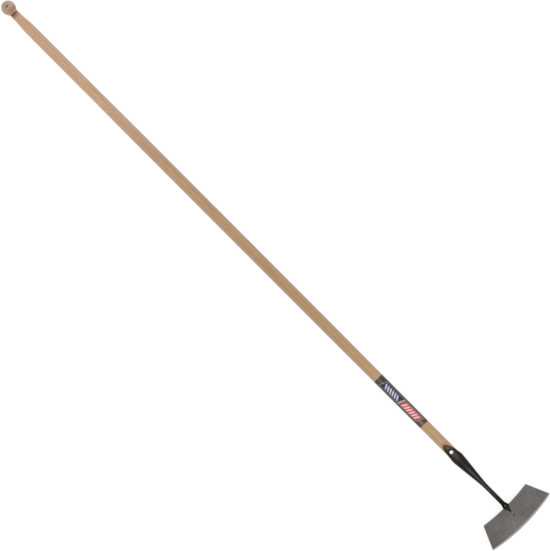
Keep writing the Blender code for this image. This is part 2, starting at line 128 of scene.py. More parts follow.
# ---------------------------------------------------------------- functions
def smooth_through(points):
    """Monotone cubic curve through (x, y) control points, as a function."""
    xs = [p[0] for p in points]
    ys = [p[1] for p in points]
    n = len(xs)
    step = [xs[i + 1] - xs[i] for i in range(n - 1)]
    rise = [(ys[i + 1] - ys[i]) / step[i] for i in range(n - 1)]
    slope = [rise[0]] + [0.0] * (n - 2) + [rise[-1]]
    for i in range(1, n - 1):
        if rise[i - 1] * rise[i] > 0:
            w1 = 2 * step[i] + step[i - 1]
            w2 = step[i] + 2 * step[i - 1]
            slope[i] = (w1 + w2) / (w1 / rise[i - 1] + w2 / rise[i])

    def value(x):
        if x <= xs[0]:
            return ys[0]
        if x >= xs[-1]:
            return ys[-1]
        i = max(k for k in range(n - 1) if xs[k] <= x)
        h = step[i]
        t = (x - xs[i]) / h
        return ((2 * t ** 3 - 3 * t ** 2 + 1) * ys[i]
                + (t ** 3 - 2 * t ** 2 + t) * h * slope[i]
                + (-2 * t ** 3 + 3 * t ** 2) * ys[i + 1]
                + (t ** 3 - t ** 2) * h * slope[i + 1])
    return value


def ease(t):
    t = min(1.0, max(0.0, t))
    return t * t * (3 - 2 * t)


def spread(a, b, count):
    return [a + (b - a) * i / count for i in range(count + 1)]


def steps_to(a, b, size):
    return spread(a, b, max(1, round((b - a) / size)))


def rough(x, y, z, size, seed=0.0):
    """Smooth noise from -1 to 1 with features about size millimetres wide."""
    return noise.noise(Vector((x / size + seed, y / size - seed,
                               z / size + 0.37 * seed)))


shaft_radius = smooth_through(SHAFT)
socket_outer = smooth_through(SOCKET_OUTER)
lapel_sweep = smooth_through(LAPEL_SWEEP)
leaf_half_width = smooth_through(LEAF)

FILLET = (31.2, 36.9)        # the ball runs into the shaft over this length


def ball_radius(x):
    if x < BALL_MIDDLE:
        return BALL_RADIUS * math.sqrt(max(0.0, 1 - (1 - x / BALL_MIDDLE) ** 2))
    return BALL_RADIUS * math.sqrt(1 - ((x - BALL_MIDDLE) / BALL_BACK) ** 2)


def plain_wood_radius(x):
    if x < FILLET[0]:
        return ball_radius(x)
    if x < FILLET[1]:
        h = FILLET[1] - FILLET[0]
        t = (x - FILLET[0]) / h
        r0, r1 = ball_radius(FILLET[0]), shaft_radius(FILLET[1])
        s0 = (ball_radius(FILLET[0]) - ball_radius(FILLET[0] - 0.05)) / 0.05
        return ((2 * t ** 3 - 3 * t ** 2 + 1) * r0
                + (t ** 3 - 2 * t ** 2 + t) * h * s0
                + (-2 * t ** 3 + 3 * t ** 2) * r1)
    return shaft_radius(x)


def wood_radius(x):
    """Radius of the wooden handle at a station."""
    radius = plain_wood_radius(x)
    offset = abs(x - GROOVE_AT) / (GROOVE_WIDTH / 2)
    if offset < 1:
        radius -= GROOVE_DEPTH * math.cos(offset * math.pi / 2) ** 1.3
    if x > SOCKET_MOUTH - 4:
        radius = min(radius, socket_outer(x) - SOCKET_WALL - PACKED_GAP)
    return radius


def hollow_radius(x):
    """Inside radius of the socket."""
    if x < SOCKET_MOUTH:
        return wood_radius(x) + CLOSE
    blend = ease((x - SOCKET_MOUTH) / 4)
    radius = socket_outer(x) - SOCKET_WALL - (PACKED_GAP - CLOSE) * (1 - blend)
    if x > SLIT_END:
        radius *= math.sqrt(max(0.0, 1 - ((x - SLIT_END)
                                          / (HOLLOW_END - SLIT_END)) ** 2))
    return radius


def half_sweep(x):
    """Half angle, from the top, that the socket covers at a station."""
    if x >= SLIT_END:
        return math.pi
    sweep = math.radians(lapel_sweep(x - LAPEL_TIP))
    if x > LAPEL_TIP + 40:
        slit = 0.45 + 0.75 * (SLIT_END - x) / (SLIT_END - SOCKET_MOUTH)
        slit *= min(1.0, math.sqrt(max(0.0, (SLIT_END - x) / 3.0)))
        sweep = min(sweep, math.pi - slit / socket_outer(x))
    return sweep


def askew(x):
    """Turn of the lapel about the handle, fading out towards the mouth."""
    return -math.radians(10.5) * (1 - ease((x - LAPEL_TIP - 4.0) / 42.0))


def from_edge(x, angle):
    """How far, in mm, a point of the socket is from its free edge."""
    if x >= SLIT_END:
        return 20.0
    return max(0.0, min(14.0 * (half_sweep(x) - abs(angle)),
                        (x - LAPEL_TIP) * 0.8))


def wall(x, angle):
    """Wall of the socket: thin at the lapel's tip, feathered at its edge."""
    if x >= SLIT_END:
        return socket_outer(x) - hollow_radius(x)
    middle = LAPEL_TIP_WALL + (SOCKET_WALL - LAPEL_TIP_WALL) * ease(
        (x - LAPEL_TIP) / (SOCKET_MOUTH - LAPEL_TIP - 4))
    middle += (PACKED_GAP - CLOSE) * (1 - ease((x - SOCKET_MOUTH) / 4))
    reach = 5.0 if x < SOCKET_MOUTH - 6 else 5.0 - 3.8 * ease(
        (x - SOCKET_MOUTH + 6) / 8)
    least = 0.42 if x < SOCKET_MOUTH else 0.8
    inward = from_edge(x, angle)
    thick = middle * (least + (1 - least) * ease(inward / reach))
    # the free edge is rounded off over its last half millimetre
    rounding = min(0.5, thick * 0.6)
    if inward < rounding:
        thick -= rounding * 0.75 * (1 - math.sqrt(
            1 - (1 - inward / rounding) ** 2))
    return thick


slope = Vector((math.cos(BLADE_ANGLE), 0.0, -math.sin(BLADE_ANGLE)))
upward = Vector((math.sin(BLADE_ANGLE), 0.0, math.cos(BLADE_ANGLE)))
bend_end = Vector((BEND_START + BEND_RADIUS * math.sin(BLADE_ANGLE), 0.0,
                   -BEND_RADIUS * (1 - math.cos(BLADE_ANGLE))))


def leaf_point(x):
    """Point of the leaf's centre line over a projected station."""
    return bend_end + slope * ((x - bend_end.x) / slope.x)


def outer_of(x, angle):
    if x >= SLIT_END:
        return socket_outer(x)
    return hollow_radius(x) + wall(x, angle)


def inner_of(x, angle):
    return hollow_radius(x)


# --------------------------------------------------------------- mesh helpers
def tool_object(name, mesh, smooth=40.0):
    mesh.shade_smooth()
    mesh.set_sharp_from_angle(angle=math.radians(smooth))
    obj = bpy.data.objects.new(name, mesh)
    bpy.context.scene.collection.objects.link(obj)
    obj.matrix_world = LAID
    return obj


def settle(obj):
    """Moves the object's place into its mesh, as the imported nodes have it."""
    obj.data.transform(obj.matrix_world)
    obj.matrix_world = Matrix.Identity(4)


def carve(obj, *cutters):
    """Cuts the cutters out of obj for good."""
    for cutter in cutters:
        mod = obj.modifiers.new("cut", 'BOOLEAN')
        mod.operation = 'DIFFERENCE'
        mod.solver = 'EXACT'
        mod.object = cutter
    bpy.context.view_layer.update()
    graph = bpy.context.evaluated_depsgraph_get()
    mesh = bpy.data.meshes.new_from_object(
        obj.evaluated_get(graph), preserve_all_data_layers=True,
        depsgraph=graph)
    obj.modifiers.clear()
    old = obj.data
    obj.data = mesh
    bpy.data.meshes.remove(old)
    mesh.name = obj.name
    for cutter in cutters:
        data = cutter.data
        bpy.data.objects.remove(cutter)
        bpy.data.meshes.remove(data)


class Skin:
    """A bmesh in the tool's millimetres, with float layers on its points."""

    def __init__(self, *layers):
        self.bm = bmesh.new()
        self.layers = {n: self.bm.verts.layers.float.new(n) for n in layers}

    def point(self, co, **values):
        vert = self.bm.verts.new(Vector(co) * MM)
        for name, value in values.items():
            vert[self.layers[name]] = value
        return vert

    def face(self, *verts):
        return self.bm.faces.new(verts)

    def strip(self, a, b, closed):
        """Quads between two rows of equal length."""
        count = len(a) if closed else len(a) - 1
        made = []
        for k in range(count):
            j = (k + 1) % len(a)
            made.append(self.bm.faces.new((a[k], a[j], b[j], b[k])))
        return made

    def fan(self, row, tip):
        return [self.bm.faces.new((row[k], row[(k + 1) % len(row)], tip))
                for k in range(len(row))]

    def mesh(self, name):
        bmesh.ops.recalc_face_normals(self.bm, faces=self.bm.faces)
        mesh = bpy.data.meshes.new(name)
        self.bm.to_mesh(mesh)
        self.bm.free()
        return mesh


def turned(name, profile, sides, layers=(), warp=None, values=None):
    """A closed turned shape about Z from (radius, height) points, pole to
    pole; warp moves a point, values gives the point's layers."""
    skin = Skin(*layers)

    def make(co):
        co = Vector(co)
        extra = values(co) if values else {}
        return skin.point(warp(co) if warp else co, **extra)

    first = make((0.0, 0.0, profile[0][1]))
    last = make((0.0, 0.0, profile[-1][1]))
    rows = []
    for r, z in profile[1:-1]:
        rows.append([make((r * math.cos(2 * math.pi * k / sides),
                           r * math.sin(2 * math.pi * k / sides), z))
                     for k in range(sides)])
    skin.fan(rows[0], first)
    for a, b in zip(rows, rows[1:]):
        skin.strip(a, b, True)
    skin.fan(rows[-1], last)
    return skin.mesh(name)


# -------------------------------------------------------------------- handle
KNOT = Vector((12.9, 0.3, math.sqrt(ball_radius(12.9) ** 2 - 0.3 ** 2)))


def outline_of_lapel():
    """(station, angle) points along one side of the lapel's edge."""
    points = [(LAPEL_TIP, 0.0)]
    for x in steps_to(LAPEL_TIP + 0.3, LAPEL_TIP + 52.0, 0.4):
        points.append((x, half_sweep(x)))
    return np.array(points)


LAPEL_EDGE = outline_of_lapel()


def stain_at(x, angle):
    """Grime and painted contact shade on the wood, 1 at the lapel's edge and 0
    a few mm from it.
    """
    if x < LAPEL_TIP - 9 or x > SOCKET_MOUTH + 8:
        return 0.0
    away = np.hypot(LAPEL_EDGE[:, 0] - x, (
        LAPEL_EDGE[:, 1] - abs(angle - askew(x))) * 13.0).min()
    # it has crept further on one side of the tip
    if angle < 0:
        away -= 2.6 * math.exp(-((x - 1524.0) / 8.0) ** 2)
    fall = 1.5 + 2.0 * ease((LAPEL_TIP + 3.0 - x) / 4.0)
    return math.exp(-max(0.0, away) / fall)


def handle_mesh():
    stations = [BALL_MIDDLE * (1 - math.cos(math.pi / 2 * i / 30))
                for i in range(1, 31)]
    stations += steps_to(BALL_MIDDLE, FILLET[0], 0.7)[1:]
    stations += steps_to(FILLET[0], GROOVE_AT - 1.1, 0.45)[1:]
    stations += spread(GROOVE_AT - 1.1, GROOVE_AT + 1.1, 10)[1:]
    stations += steps_to(GROOVE_AT + 1.1, 100.0, 2.0)[1:]
    stations += steps_to(100.0, 400.0, 9.0)[1:]
    stations += steps_to(400.0, 800.0, 10.0)[1:]
    stations += steps_to(800.0, 1200.0, 10.0)[1:]
    stations += steps_to(1200.0, 1504.0, 9.0)[1:]
    stations += steps_to(1504.0, 1566.0, 1.2)[1:]
    stations += steps_to(1566.0, HANDLE_LENGTH - 1.5, 8.0)[1:]
    skin = Skin("stain")
    uv = skin.bm.loops.layers.uv.new("OFBake")
    rows = []
    for x in stations:
        row = []
        for k in range(SIDES):
            angle = -math.pi + 2 * math.pi * k / SIDES
            r = wood_radius(x)
            p = Vector((x, r * math.sin(angle), r * math.cos(angle)))
            if x < 20:
                away = (p - KNOT).length
                if away < 2.5:
                    r -= 1.2 * (1 - (away / 2.5) ** 2) ** 2
            if 60 < x < 1500:        # the lathe and the sander leave it uneven
                r -= 0.05 * (1 + rough(x, r * math.sin(angle) * 3,
                                       r * math.cos(angle) * 3, 60.0, 3.1))
            row.append(skin.point((x, r * math.sin(angle),
                                   r * math.cos(angle)),
                                  stain=stain_at(x, angle)))
        rows.append(row)
    tip = skin.point((0.0, 0.0, 0.0), stain=0.0)
    end_radius = wood_radius(HANDLE_LENGTH) - 1.5
    end_row = [skin.point((HANDLE_LENGTH, end_radius * math.sin(
        -math.pi + 2 * math.pi * k / SIDES), end_radius * math.cos(
            -math.pi + 2 * math.pi * k / SIDES)), stain=0.0)
        for k in range(SIDES)]
    end = skin.point((HANDLE_LENGTH, 0.0, 0.0), stain=0.0)

    # The map is four strips of 400 mm, each unrolled from the underside.
    scale = (1.0 - 0.03) / 400.0
    high = 0.208

    def place(x, k, strip):
        return (0.015 + (x - 400.0 * strip) * scale,
                0.012 + strip * (high + 0.016) + high * k / SIDES)

    def lay(face, spots):
        for loop, spot in zip(face.loops, spots):
            loop[uv].uv = spot

    all_rows = [(0.0, None)] + list(zip(stations, rows))
    for (xa, a), (xb, b) in zip(all_rows, all_rows[1:]):
        strip = min(3, int((xa + xb) / 2 // 400.0))
        for k in range(SIDES):
            j = (k + 1) % SIDES
            if a is None:
                lay(skin.face(tip, b[j], b[k]),
                    (place(0.0, k + 0.5, 0), place(xb, k + 1, 0),
                     place(xb, k, 0)))
            else:
                lay(skin.face(a[k], a[j], b[j], b[k]),
                    (place(xa, k, strip), place(xa, k + 1, strip),
                     place(xb, k + 1, strip), place(xb, k, strip)))
    disc = Vector((0.05, 0.955))
    for k in range(SIDES):
        j = (k + 1) % SIDES
        a, b = rows[-1], end_row

        def around(radius, n):
            turn = 2 * math.pi * n / SIDES
            return (disc.x + radius * math.sin(turn),
                    disc.y + radius * math.cos(turn))
        lay(skin.face(a[k], a[j], b[j], b[k]),
            (around(0.036, k), around(0.036, k + 1), around(0.031, k + 1),
             around(0.031, k)))
        lay(skin.face(b[k], b[j], end),
            (around(0.031, k), around(0.031, k + 1), (disc.x, disc.y)))
    return skin.mesh("handle_ash")


nail_seat = hollow_radius(NAIL_AT) + wall(NAIL_AT, 0.0)


def upright_cylinder(name, radius, low, high, bottom, sides=48):
    """A closed cutter about Z with a UV map that lies apart."""
    skin = Skin("stain")
    uv = skin.bm.loops.layers.uv.new("OFBake")
    levels = [(low, radius), (high, radius)]
    rows = [[skin.point((r * math.cos(2 * math.pi * k / sides),
                         r * math.sin(2 * math.pi * k / sides), z), stain=0.0)
             for k in range(sides)] for z, r in levels]
    base = skin.point((0.0, 0.0, bottom), stain=0.0)
    lid = skin.point((0.0, 0.0, high + 1.0), stain=0.0)
    for k in range(sides):
        j = (k + 1) % sides
        left, right = 0.12 + 0.1 * k / sides, 0.12 + 0.1 * (k + 1) / sides
        face = skin.face(rows[0][k], rows[0][j], rows[1][j], rows[1][k])
        for loop, spot in zip(face.loops, ((left, 0.93), (right, 0.93),
                                           (right, 0.98), (left, 0.98))):
            loop[uv].uv = spot
        for tip, row, centre in ((base, rows[0], (0.27, 0.955)),
                                 (lid, rows[1], (0.33, 0.955))):
            face = skin.face(row[k], row[j], tip)
            for loop, n in zip(face.loops, (k, k + 1, None)):
                turn = 2 * math.pi * (n or 0) / sides
                size = 0.0 if n is None else 0.02
                loop[uv].uv = (centre[0] + size * math.sin(turn),
                               centre[1] + size * math.cos(turn))
    return skin.mesh(name)


def nail_cutter(name):
    obj = tool_object(name, upright_cylinder(
        name, NAIL_SHANK + 0.15, nail_seat - NAIL_REACH + 4.6, 22.0,
        nail_seat - NAIL_REACH - 0.4))
    obj.matrix_world = LAID @ Matrix.Translation(
        Vector((NAIL_AT, NAIL_SIDE, 0.0)) * MM)
    return obj


handle = tool_object("handle_ash", handle_mesh(), 35.0)
carve(handle, nail_cutter("nail_bore_handle"))


# -------------------------------------------------------------- film sleeve
def sleeve_mesh():
    """Printed film wound once round the shaft; its end lies over its start
    low on one side."""
    sides = 160
    skin = Skin("lap")
    lap_from, lap_to = math.radians(118.0), math.radians(146.0)

    def outside(x, angle):
        thick = 0.16
        if lap_from < angle < lap_to:
            thick += 0.14 * ease((angle - lap_from) / math.radians(3.0))
        elif lap_to <= angle < lap_to + math.radians(1.2):
            thick += 0.14 * (1 - ease((angle - lap_to) / math.radians(1.2)))
        ends = min(x - LABEL_START, LABEL_END - x)
        thick += 0.03 * rough(x, angle * 13, 0.0, 9.0, 5.0)
        return wood_radius(x) + 0.02 + thick * ease(0.35 + ends / 0.5)

    angles = []
    for k in range(sides):
        angles.append(-math.pi + 2 * math.pi * k / sides)
    for extra in (lap_to - 0.004, lap_to + 0.006, lap_to + 0.014,
                  lap_from + 0.012):
        angles.append(extra)
    angles = sorted(angles)
    stations = [LABEL_START, LABEL_START + 0.2, LABEL_START + 0.5]
    stations += steps_to(LABEL_START + 1.2, LABEL_END - 1.2, 2.2)
    stations += [LABEL_END - 0.5, LABEL_END - 0.2, LABEL_END]
    outer, inner = [], []
    for x in stations:
        for rows, radius_of in ((outer, outside),
                                (inner, lambda x, a: wood_radius(x) + 0.01)):
            row = []
            for angle in angles:
                r = radius_of(x, angle)
                lap = 1.0 if abs(angle - lap_to) < 0.02 else 0.0
                row.append(skin.point((x, r * math.sin(angle),
                                       r * math.cos(angle)), lap=lap))
            rows.append(row)
    for a, b in zip(outer, outer[1:]):
        skin.strip(a, b, True)
    for a, b in zip(inner, inner[1:]):
        skin.strip(b, a, True)
    skin.strip(inner[0], outer[0], True)
    skin.strip(outer[-1], inner[-1], True)
    return skin.mesh("film_sleeve")


sleeve = tool_object("film_sleeve", sleeve_mesh(), 30.0)


# ----------------------------------------------------------- socket and neck
def dished(x, y):
    """Dent that the nail punch left beside the nail, in mm inward."""
    away = math.hypot((x - DENT[0]) / 3.6, (y - DENT[1]) / 4.8)
    return 0.66 * (1 - away * away) ** 2 if away < 1 else 0.0


def forged(x, y, z):
    """Unevenness left by the hammer, in mm outward."""
    small = 0.07 * rough(x, y, z, 7.0, 1.7)
    large = 0.16 * rough(x, y, z, 24.0, 8.3)
    facets = 0.10 * ease((x - 1640.0) / 30.0) * rough(x * 1.3, y * 3, z * 3,
                                                       30.0, 4.4)
    weld = 0.28 * math.exp(-((x - 1654.0) / 1.1) ** 2)
    return small + large + facets + weld


def column_angles(x):
    """Angles of a section's points, gathered near its two free edges."""
    half = half_sweep(x)
    arc = 14.0 * half
    near = [0.0, 0.06, 0.16, 0.3, 0.5, 0.8, 1.3]
    fit = min(1.0, arc / 4.0)
    near = [d * fit for d in near]
    left = [-half + d / 14.0 for d in near]
    rest = AROUND - 2 * (len(near) - 1)
    middle = spread(left[-1], -left[-1], rest)
    gathered = left[:-1] + middle + [-a for a in reversed(left[:-1])]
    even = ease((x - 1578.0) / (SLIT_END - 1578.0))
    return [g + (e - g) * even
            for g, e in zip(gathered, spread(-half, half, AROUND))]


def socket_row(skin, x, radius_of, open_seam, rough_out):
    row = []
    if open_seam:
        angles = column_angles(x)
    else:
        angles = [-math.pi + 2 * math.pi * k / AROUND for k in range(AROUND)]
    twist = askew(x) if x < SLIT_END else 0.0
    for angle in angles:
        r = radius_of(x, angle)
        turn = angle + twist
        y, z = r * math.sin(turn), r * math.cos(turn)
        rim = edge = 0.0
        if rough_out:
            edge = from_edge(x, angle)
            rim = math.exp(-edge / 0.7)
            r += forged(x, y, z) * ease(edge / 5.0) - dished(x, y)
            y, z = r * math.sin(turn), r * math.cos(turn)
        row.append(skin.point((x, y, z), rim=rim, edge=edge,
                              crown=max(0.0, math.cos(turn)) * rough_out))
    return row


def flattening(x):
    """0 where the neck is still round, 1 where it is beaten flat."""
    return ease((x - BEND_START - 2.0) / (RIVET_AT - 5.4 - BEND_START))


def flattened_row(skin, x, centre, up):
    """Section across the bend and the leaf: flat below, low ridge on top."""
    flat = flattening(x)
    tip = max(0.0, (x - RIVET_AT - 3.0) / (LEAF_TIP - RIVET_AT - 3.0))
    half = leaf_half_width(x)
    sit = LEAF_UNDER + (PACKED_GAP - CLOSE)
    under = NECK_RADIUS + (sit - NECK_RADIUS) * flat
    ridge = NECK_RADIUS + (LEAF_THICKNESS - LEAF_UNDER - NECK_RADIUS) * flat \
        - (LEAF_THICKNESS - LEAF_TIP_THICKNESS) * tip
    rim_at = flat * (-LEAF_UNDER + LEAF_RIM * (1 - 0.7 * tip))
    over_power = 1.0 - 0.5 * flat + 0.6 * ease(tip * 1.5)
    under_power = 1.0 - 0.72 * flat
    row = []
    for k in range(AROUND):
        angle = -math.pi + 2 * math.pi * k / AROUND
        c = math.cos(angle)
        y = half * math.sin(angle)
        if c >= 0:
            z = rim_at + (ridge - rim_at) * c ** over_power
            z += forged(x, y, z) * ease(c * 1.6) * (1 - 0.5 * flat)
        else:
            z = rim_at - (under + rim_at) * abs(c) ** under_power
            z -= max(0.0, forged(x, y, z)) * (1 - flat) * ease(-c * 1.6)
        point = centre + Vector((0.0, y, 0.0)) + up * z
        rim = flat * math.exp(-abs(c) / 0.16)
        row.append(skin.point(point, rim=rim, edge=20.0, crown=max(0.0, c)))
    return row


def socket_mesh():
    open_stations = [LAPEL_TIP + d for d in (
        0.35, 0.8, 1.5, 2.6, 4.1)]
    open_stations += steps_to(LAPEL_TIP + 5.4, LAPEL_TIP + 40.0, 1.25)
    open_stations += steps_to(LAPEL_TIP + 40.8, LAPEL_TIP + 57.0, 0.8)
    open_stations += steps_to(LAPEL_TIP + 58.5, 1613.0, 2.0)
    open_stations += [1614.5, 1615.7, 1616.7, 1617.4]
    hollow_stations = [SLIT_END, 1620.0, 1622.5, 1625.0, 1627.3, 1629.0,
                       1630.2, 1630.8]
    solid_stations = steps_to(SLIT_END, 1650.0, 2.0)
    solid_stations += steps_to(1651.0, 1658.0, 0.5)
    solid_stations += steps_to(1660.0, BEND_START, 2.5)

    skin = Skin("rim", "crown", "edge")
    outer = [socket_row(skin, x, outer_of, True, 1) for x in open_stations]
    inner = [socket_row(skin, x, inner_of, True, 0) for x in open_stations]
    turn = askew(LAPEL_TIP)
    tip_in = hollow_radius(LAPEL_TIP)
    tip_out = tip_in + wall(LAPEL_TIP, 0.0)
    outer_tip = skin.point((LAPEL_TIP, tip_out * math.sin(turn),
                            tip_out * math.cos(turn)), rim=1.0, crown=1.0,
                           edge=0.0)
    inner_tip = skin.point((LAPEL_TIP, tip_in * math.sin(turn),
                            tip_in * math.cos(turn)), rim=1.0, crown=0.0)
    solid = [socket_row(skin, x, outer_of, False, 1) for x in solid_stations]
    hollow = [socket_row(skin, x, inner_of, False, 0)
              for x in hollow_stations]
    pole = skin.point((HOLLOW_END, 0.0, 0.0), rim=0.0, crown=0.0)

    for k in range(AROUND):
        skin.face(outer_tip, outer[0][k + 1], outer[0][k])
        skin.face(inner_tip, inner[0][k], inner[0][k + 1])
    for side, first in ((0, True), (-1, False)):
        corner = [outer_tip, outer[0][side], inner[0][side], inner_tip]
        skin.face(*(corner if first else corner[::-1]))
    for rows in (outer, inner):
        for a, b in zip(rows, rows[1:]):
            skin.strip(a, b, False)
    for i in range(len(outer) - 1):
        for side in (0, -1):
            skin.face(outer[i][side], outer[i + 1][side],
                      inner[i + 1][side], inner[i][side])
    skin.strip(outer[-1], solid[0] + [solid[0][0]], False)
    skin.strip(inner[-1], hollow[0] + [hollow[0][0]], False)
    for side in (0, -1):
        skin.face(outer[-1][side], solid[0][0], hollow[0][0],
                  inner[-1][side])
    for rows in (solid, hollow):
        for a, b in zip(rows, rows[1:]):
            skin.strip(a, b, True)
    skin.fan(hollow[-1], pole)

    last = solid[-1]
    for i in range(1, 15):
        turn = BLADE_ANGLE * i / 14
        centre = Vector((BEND_START + BEND_RADIUS * math.sin(turn), 0.0,
                         -BEND_RADIUS * (1 - math.cos(turn))))
        up = Vector((math.sin(turn), 0.0, math.cos(turn)))
        row = flattened_row(skin, centre.x, centre, up)
        skin.strip(last, row, True)
        last = row
    for x in steps_to(1709.6, LEAF_TIP - 1.5, 0.7) + [LEAF_TIP - 0.8,
                                                     LEAF_TIP - 0.3]:
        row = flattened_row(skin, x, leaf_point(x), upward)
        skin.strip(last, row, True)
        last = row
    tip = skin.point(leaf_point(LEAF_TIP) + upward
                     * (-LEAF_UNDER + LEAF_TIP_THICKNESS / 3), rim=1.0,
                     crown=0.5)
    skin.fan(last, tip)
    return skin.mesh("forged_socket")


def rivet_cutter(name):
    skin = Skin("rim", "crown", "edge")
    rows = [[skin.point(((RIVET_SHANK + 0.12) * math.cos(
        2 * math.pi * k / 40), (RIVET_SHANK + 0.12) * math.sin(
            2 * math.pi * k / 40), z), rim=0.0, crown=0.0, edge=0.0)
        for k in range(40)] for z in (-9.0, 9.0)]
    skin.strip(rows[0], rows[1], True)
    skin.face(*rows[0])
    skin.face(*rows[1])
    obj = tool_object(name, skin.mesh(name))
    obj.matrix_world = LAID @ Matrix.Translation(leaf_point(RIVET_AT) * MM) \
        @ Matrix.Rotation(BLADE_ANGLE, 4, 'Y')
    return obj


socket = tool_object("forged_socket", socket_mesh(), 42.0)
carve(socket, nail_cutter("nail_bore_socket"), rivet_cutter("rivet_bore"))

# --------------------------------------------------------------------- blade
blade_zero = Vector((BLADE_REAR_AT, 0.0, leaf_point(BLADE_REAR_AT).z
                     - (LEAF_UNDER + PACKED_GAP) / math.cos(BLADE_ANGLE)))
rivet_along = (RIVET_AT - (LEAF_UNDER + PACKED_GAP) * upward.x
               - BLADE_REAR_AT) / slope.x


def blade_point(along, across, height):
    """Blade coordinates: down the slope, across, and up from its top face."""
    return blade_zero + slope * along + Vector((0.0, across, 0.0)) \
        + upward * height


def rear_edge(y):
    return -(REAR_RADIUS - math.sqrt(REAR_RADIUS ** 2 - y * y))


def front_edge(y):
    return BLADE_DEPTH - (FRONT_RADIUS - math.sqrt(FRONT_RADIUS ** 2 - y * y))


def round_corner(p0, p1, p2, radius, count):
    """Arc of a given radius that replaces the corner p1 of a polyline."""
    a = (Vector(p0) - Vector(p1)).normalized()
    b = (Vector(p2) - Vector(p1)).normalized()
    half = math.acos(max(-1.0, min(1.0, a.dot(b)))) / 2
    centre = Vector(p1) + (a + b).normalized() * (radius / math.sin(half))
    start = Vector(p1) + a * (radius / math.tan(half)) - centre
    end = Vector(p1) + b * (radius / math.tan(half)) - centre
    total = math.pi - 2 * half
    points = []
    for i in range(count + 1):
        f = i / count
        v = (start * math.sin((1 - f) * total) + end * math.sin(f * total)) \
            / math.sin(total)
        points.append(tuple(centre + v))
    return points


def blade_outline():
    """Right half of the outline, lug to front: (along, across, front 0-1)."""
    half = []
    for i in range(25):
        angle = math.radians(100.0) * i / 24
        half.append((rivet_along - LUG_RADIUS * math.cos(angle),
                     LUG_RADIUS * math.sin(angle), 0.0))
    start = Vector(half[-1][:2])
    knee = Vector((-0.35, 6.75))
    end = Vector((rear_edge(10.5), 10.5))
    for i in range(1, 13):
        t = i / 12
        p = start * (1 - t) ** 2 + knee * 2 * t * (1 - t) + end * t * t
        half.append((p.x, p.y, 0.0))
    for y in steps_to(10.5, REAR_HALF - 2.6, 1.5)[1:]:
        half.append((rear_edge(y), y, 0.0))
    rear = (rear_edge(REAR_HALF), REAR_HALF)
    front = (front_edge(FRONT_HALF), FRONT_HALF)
    arc = round_corner((rear_edge(REAR_HALF - 2), REAR_HALF - 2), rear,
                       front, 1.5, 8)
    half += [(a, y, 0.0) for a, y in arc]
    corner = round_corner(rear, front, (front_edge(FRONT_HALF - 4),
                                        FRONT_HALF - 4), 4.0, 14)
    run = (Vector(corner[0]) - Vector(arc[-1]))
    count = round(run.length / 1.0)
    for i in range(1, count):
        p = Vector(arc[-1]) + run * (i / count)
        half.append((p.x, p.y, 0.0))
    for i, (a, y) in enumerate(corner):
        half.append((a, y, ease(i / 14)))
    for y in steps_to(-corner[-1][1] + 0.6, 0.0, 0.8):
        half.append((front_edge(y), -y, 1.0))
    return half


def bevel_width(y):
    v = min(1.0, abs(y) / FRONT_HALF)
    return BEVEL_MIDDLE + (BEVEL_ENDS - BEVEL_MIDDLE) * v ** 1.5


def front_distance(a, y):
    return FRONT_RADIUS - math.hypot(a - (BLADE_DEPTH - FRONT_RADIUS), y)


def bevel_depth(a, y):
    """1 at the cutting edge, 0 at the back of the ground bevel."""
    return 1.0 - front_distance(a, y) / bevel_width(y)


def top_height(a, y):
    """Height of the blade's upper face, with its bevel and dimple."""
    q = bevel_depth(a, y)
    soft = 0.20
    if q < -soft:
        fall = 0.0
    elif q < soft:
        fall = (q + soft) ** 2 / (4 * soft)
    else:
        fall = q
    z = -(BLADE_THICKNESS - EDGE_LAND) * fall
    away = math.hypot(a - DIMPLE[0], y - DIMPLE[1]) / DIMPLE[2]
    if away < 1.0:
        z -= DIMPLE[3] * (1 - away * away) ** 2
    elif away < 1.6:
        z += 0.05 * math.sin((away - 1.0) / 0.6 * math.pi)
    calm = ease((abs(y) + abs(a - 4)) / 40.0)     # flat under the leaf
    z += 0.07 * rough(a, y, 0.0, 34.0, 2.2) * calm * min(1.0, max(0.0, -q * 4))
    return z


def inward_normals(loop):
    """Unit normals of a closed loop that point into its inside."""
    area = sum(loop[i][0] * loop[(i + 1) % len(loop)][1]
               - loop[(i + 1) % len(loop)][0] * loop[i][1]
               for i in range(len(loop)))
    sign = 1.0 if area > 0 else -1.0
    normals = []
    for i in range(len(loop)):
        before = Vector(loop[i - 1][:2])
        after = Vector(loop[(i + 1) % len(loop)][:2])
        along = (after - before).normalized()
        normals.append(Vector((-along.y, along.x)) * sign)
    return normals


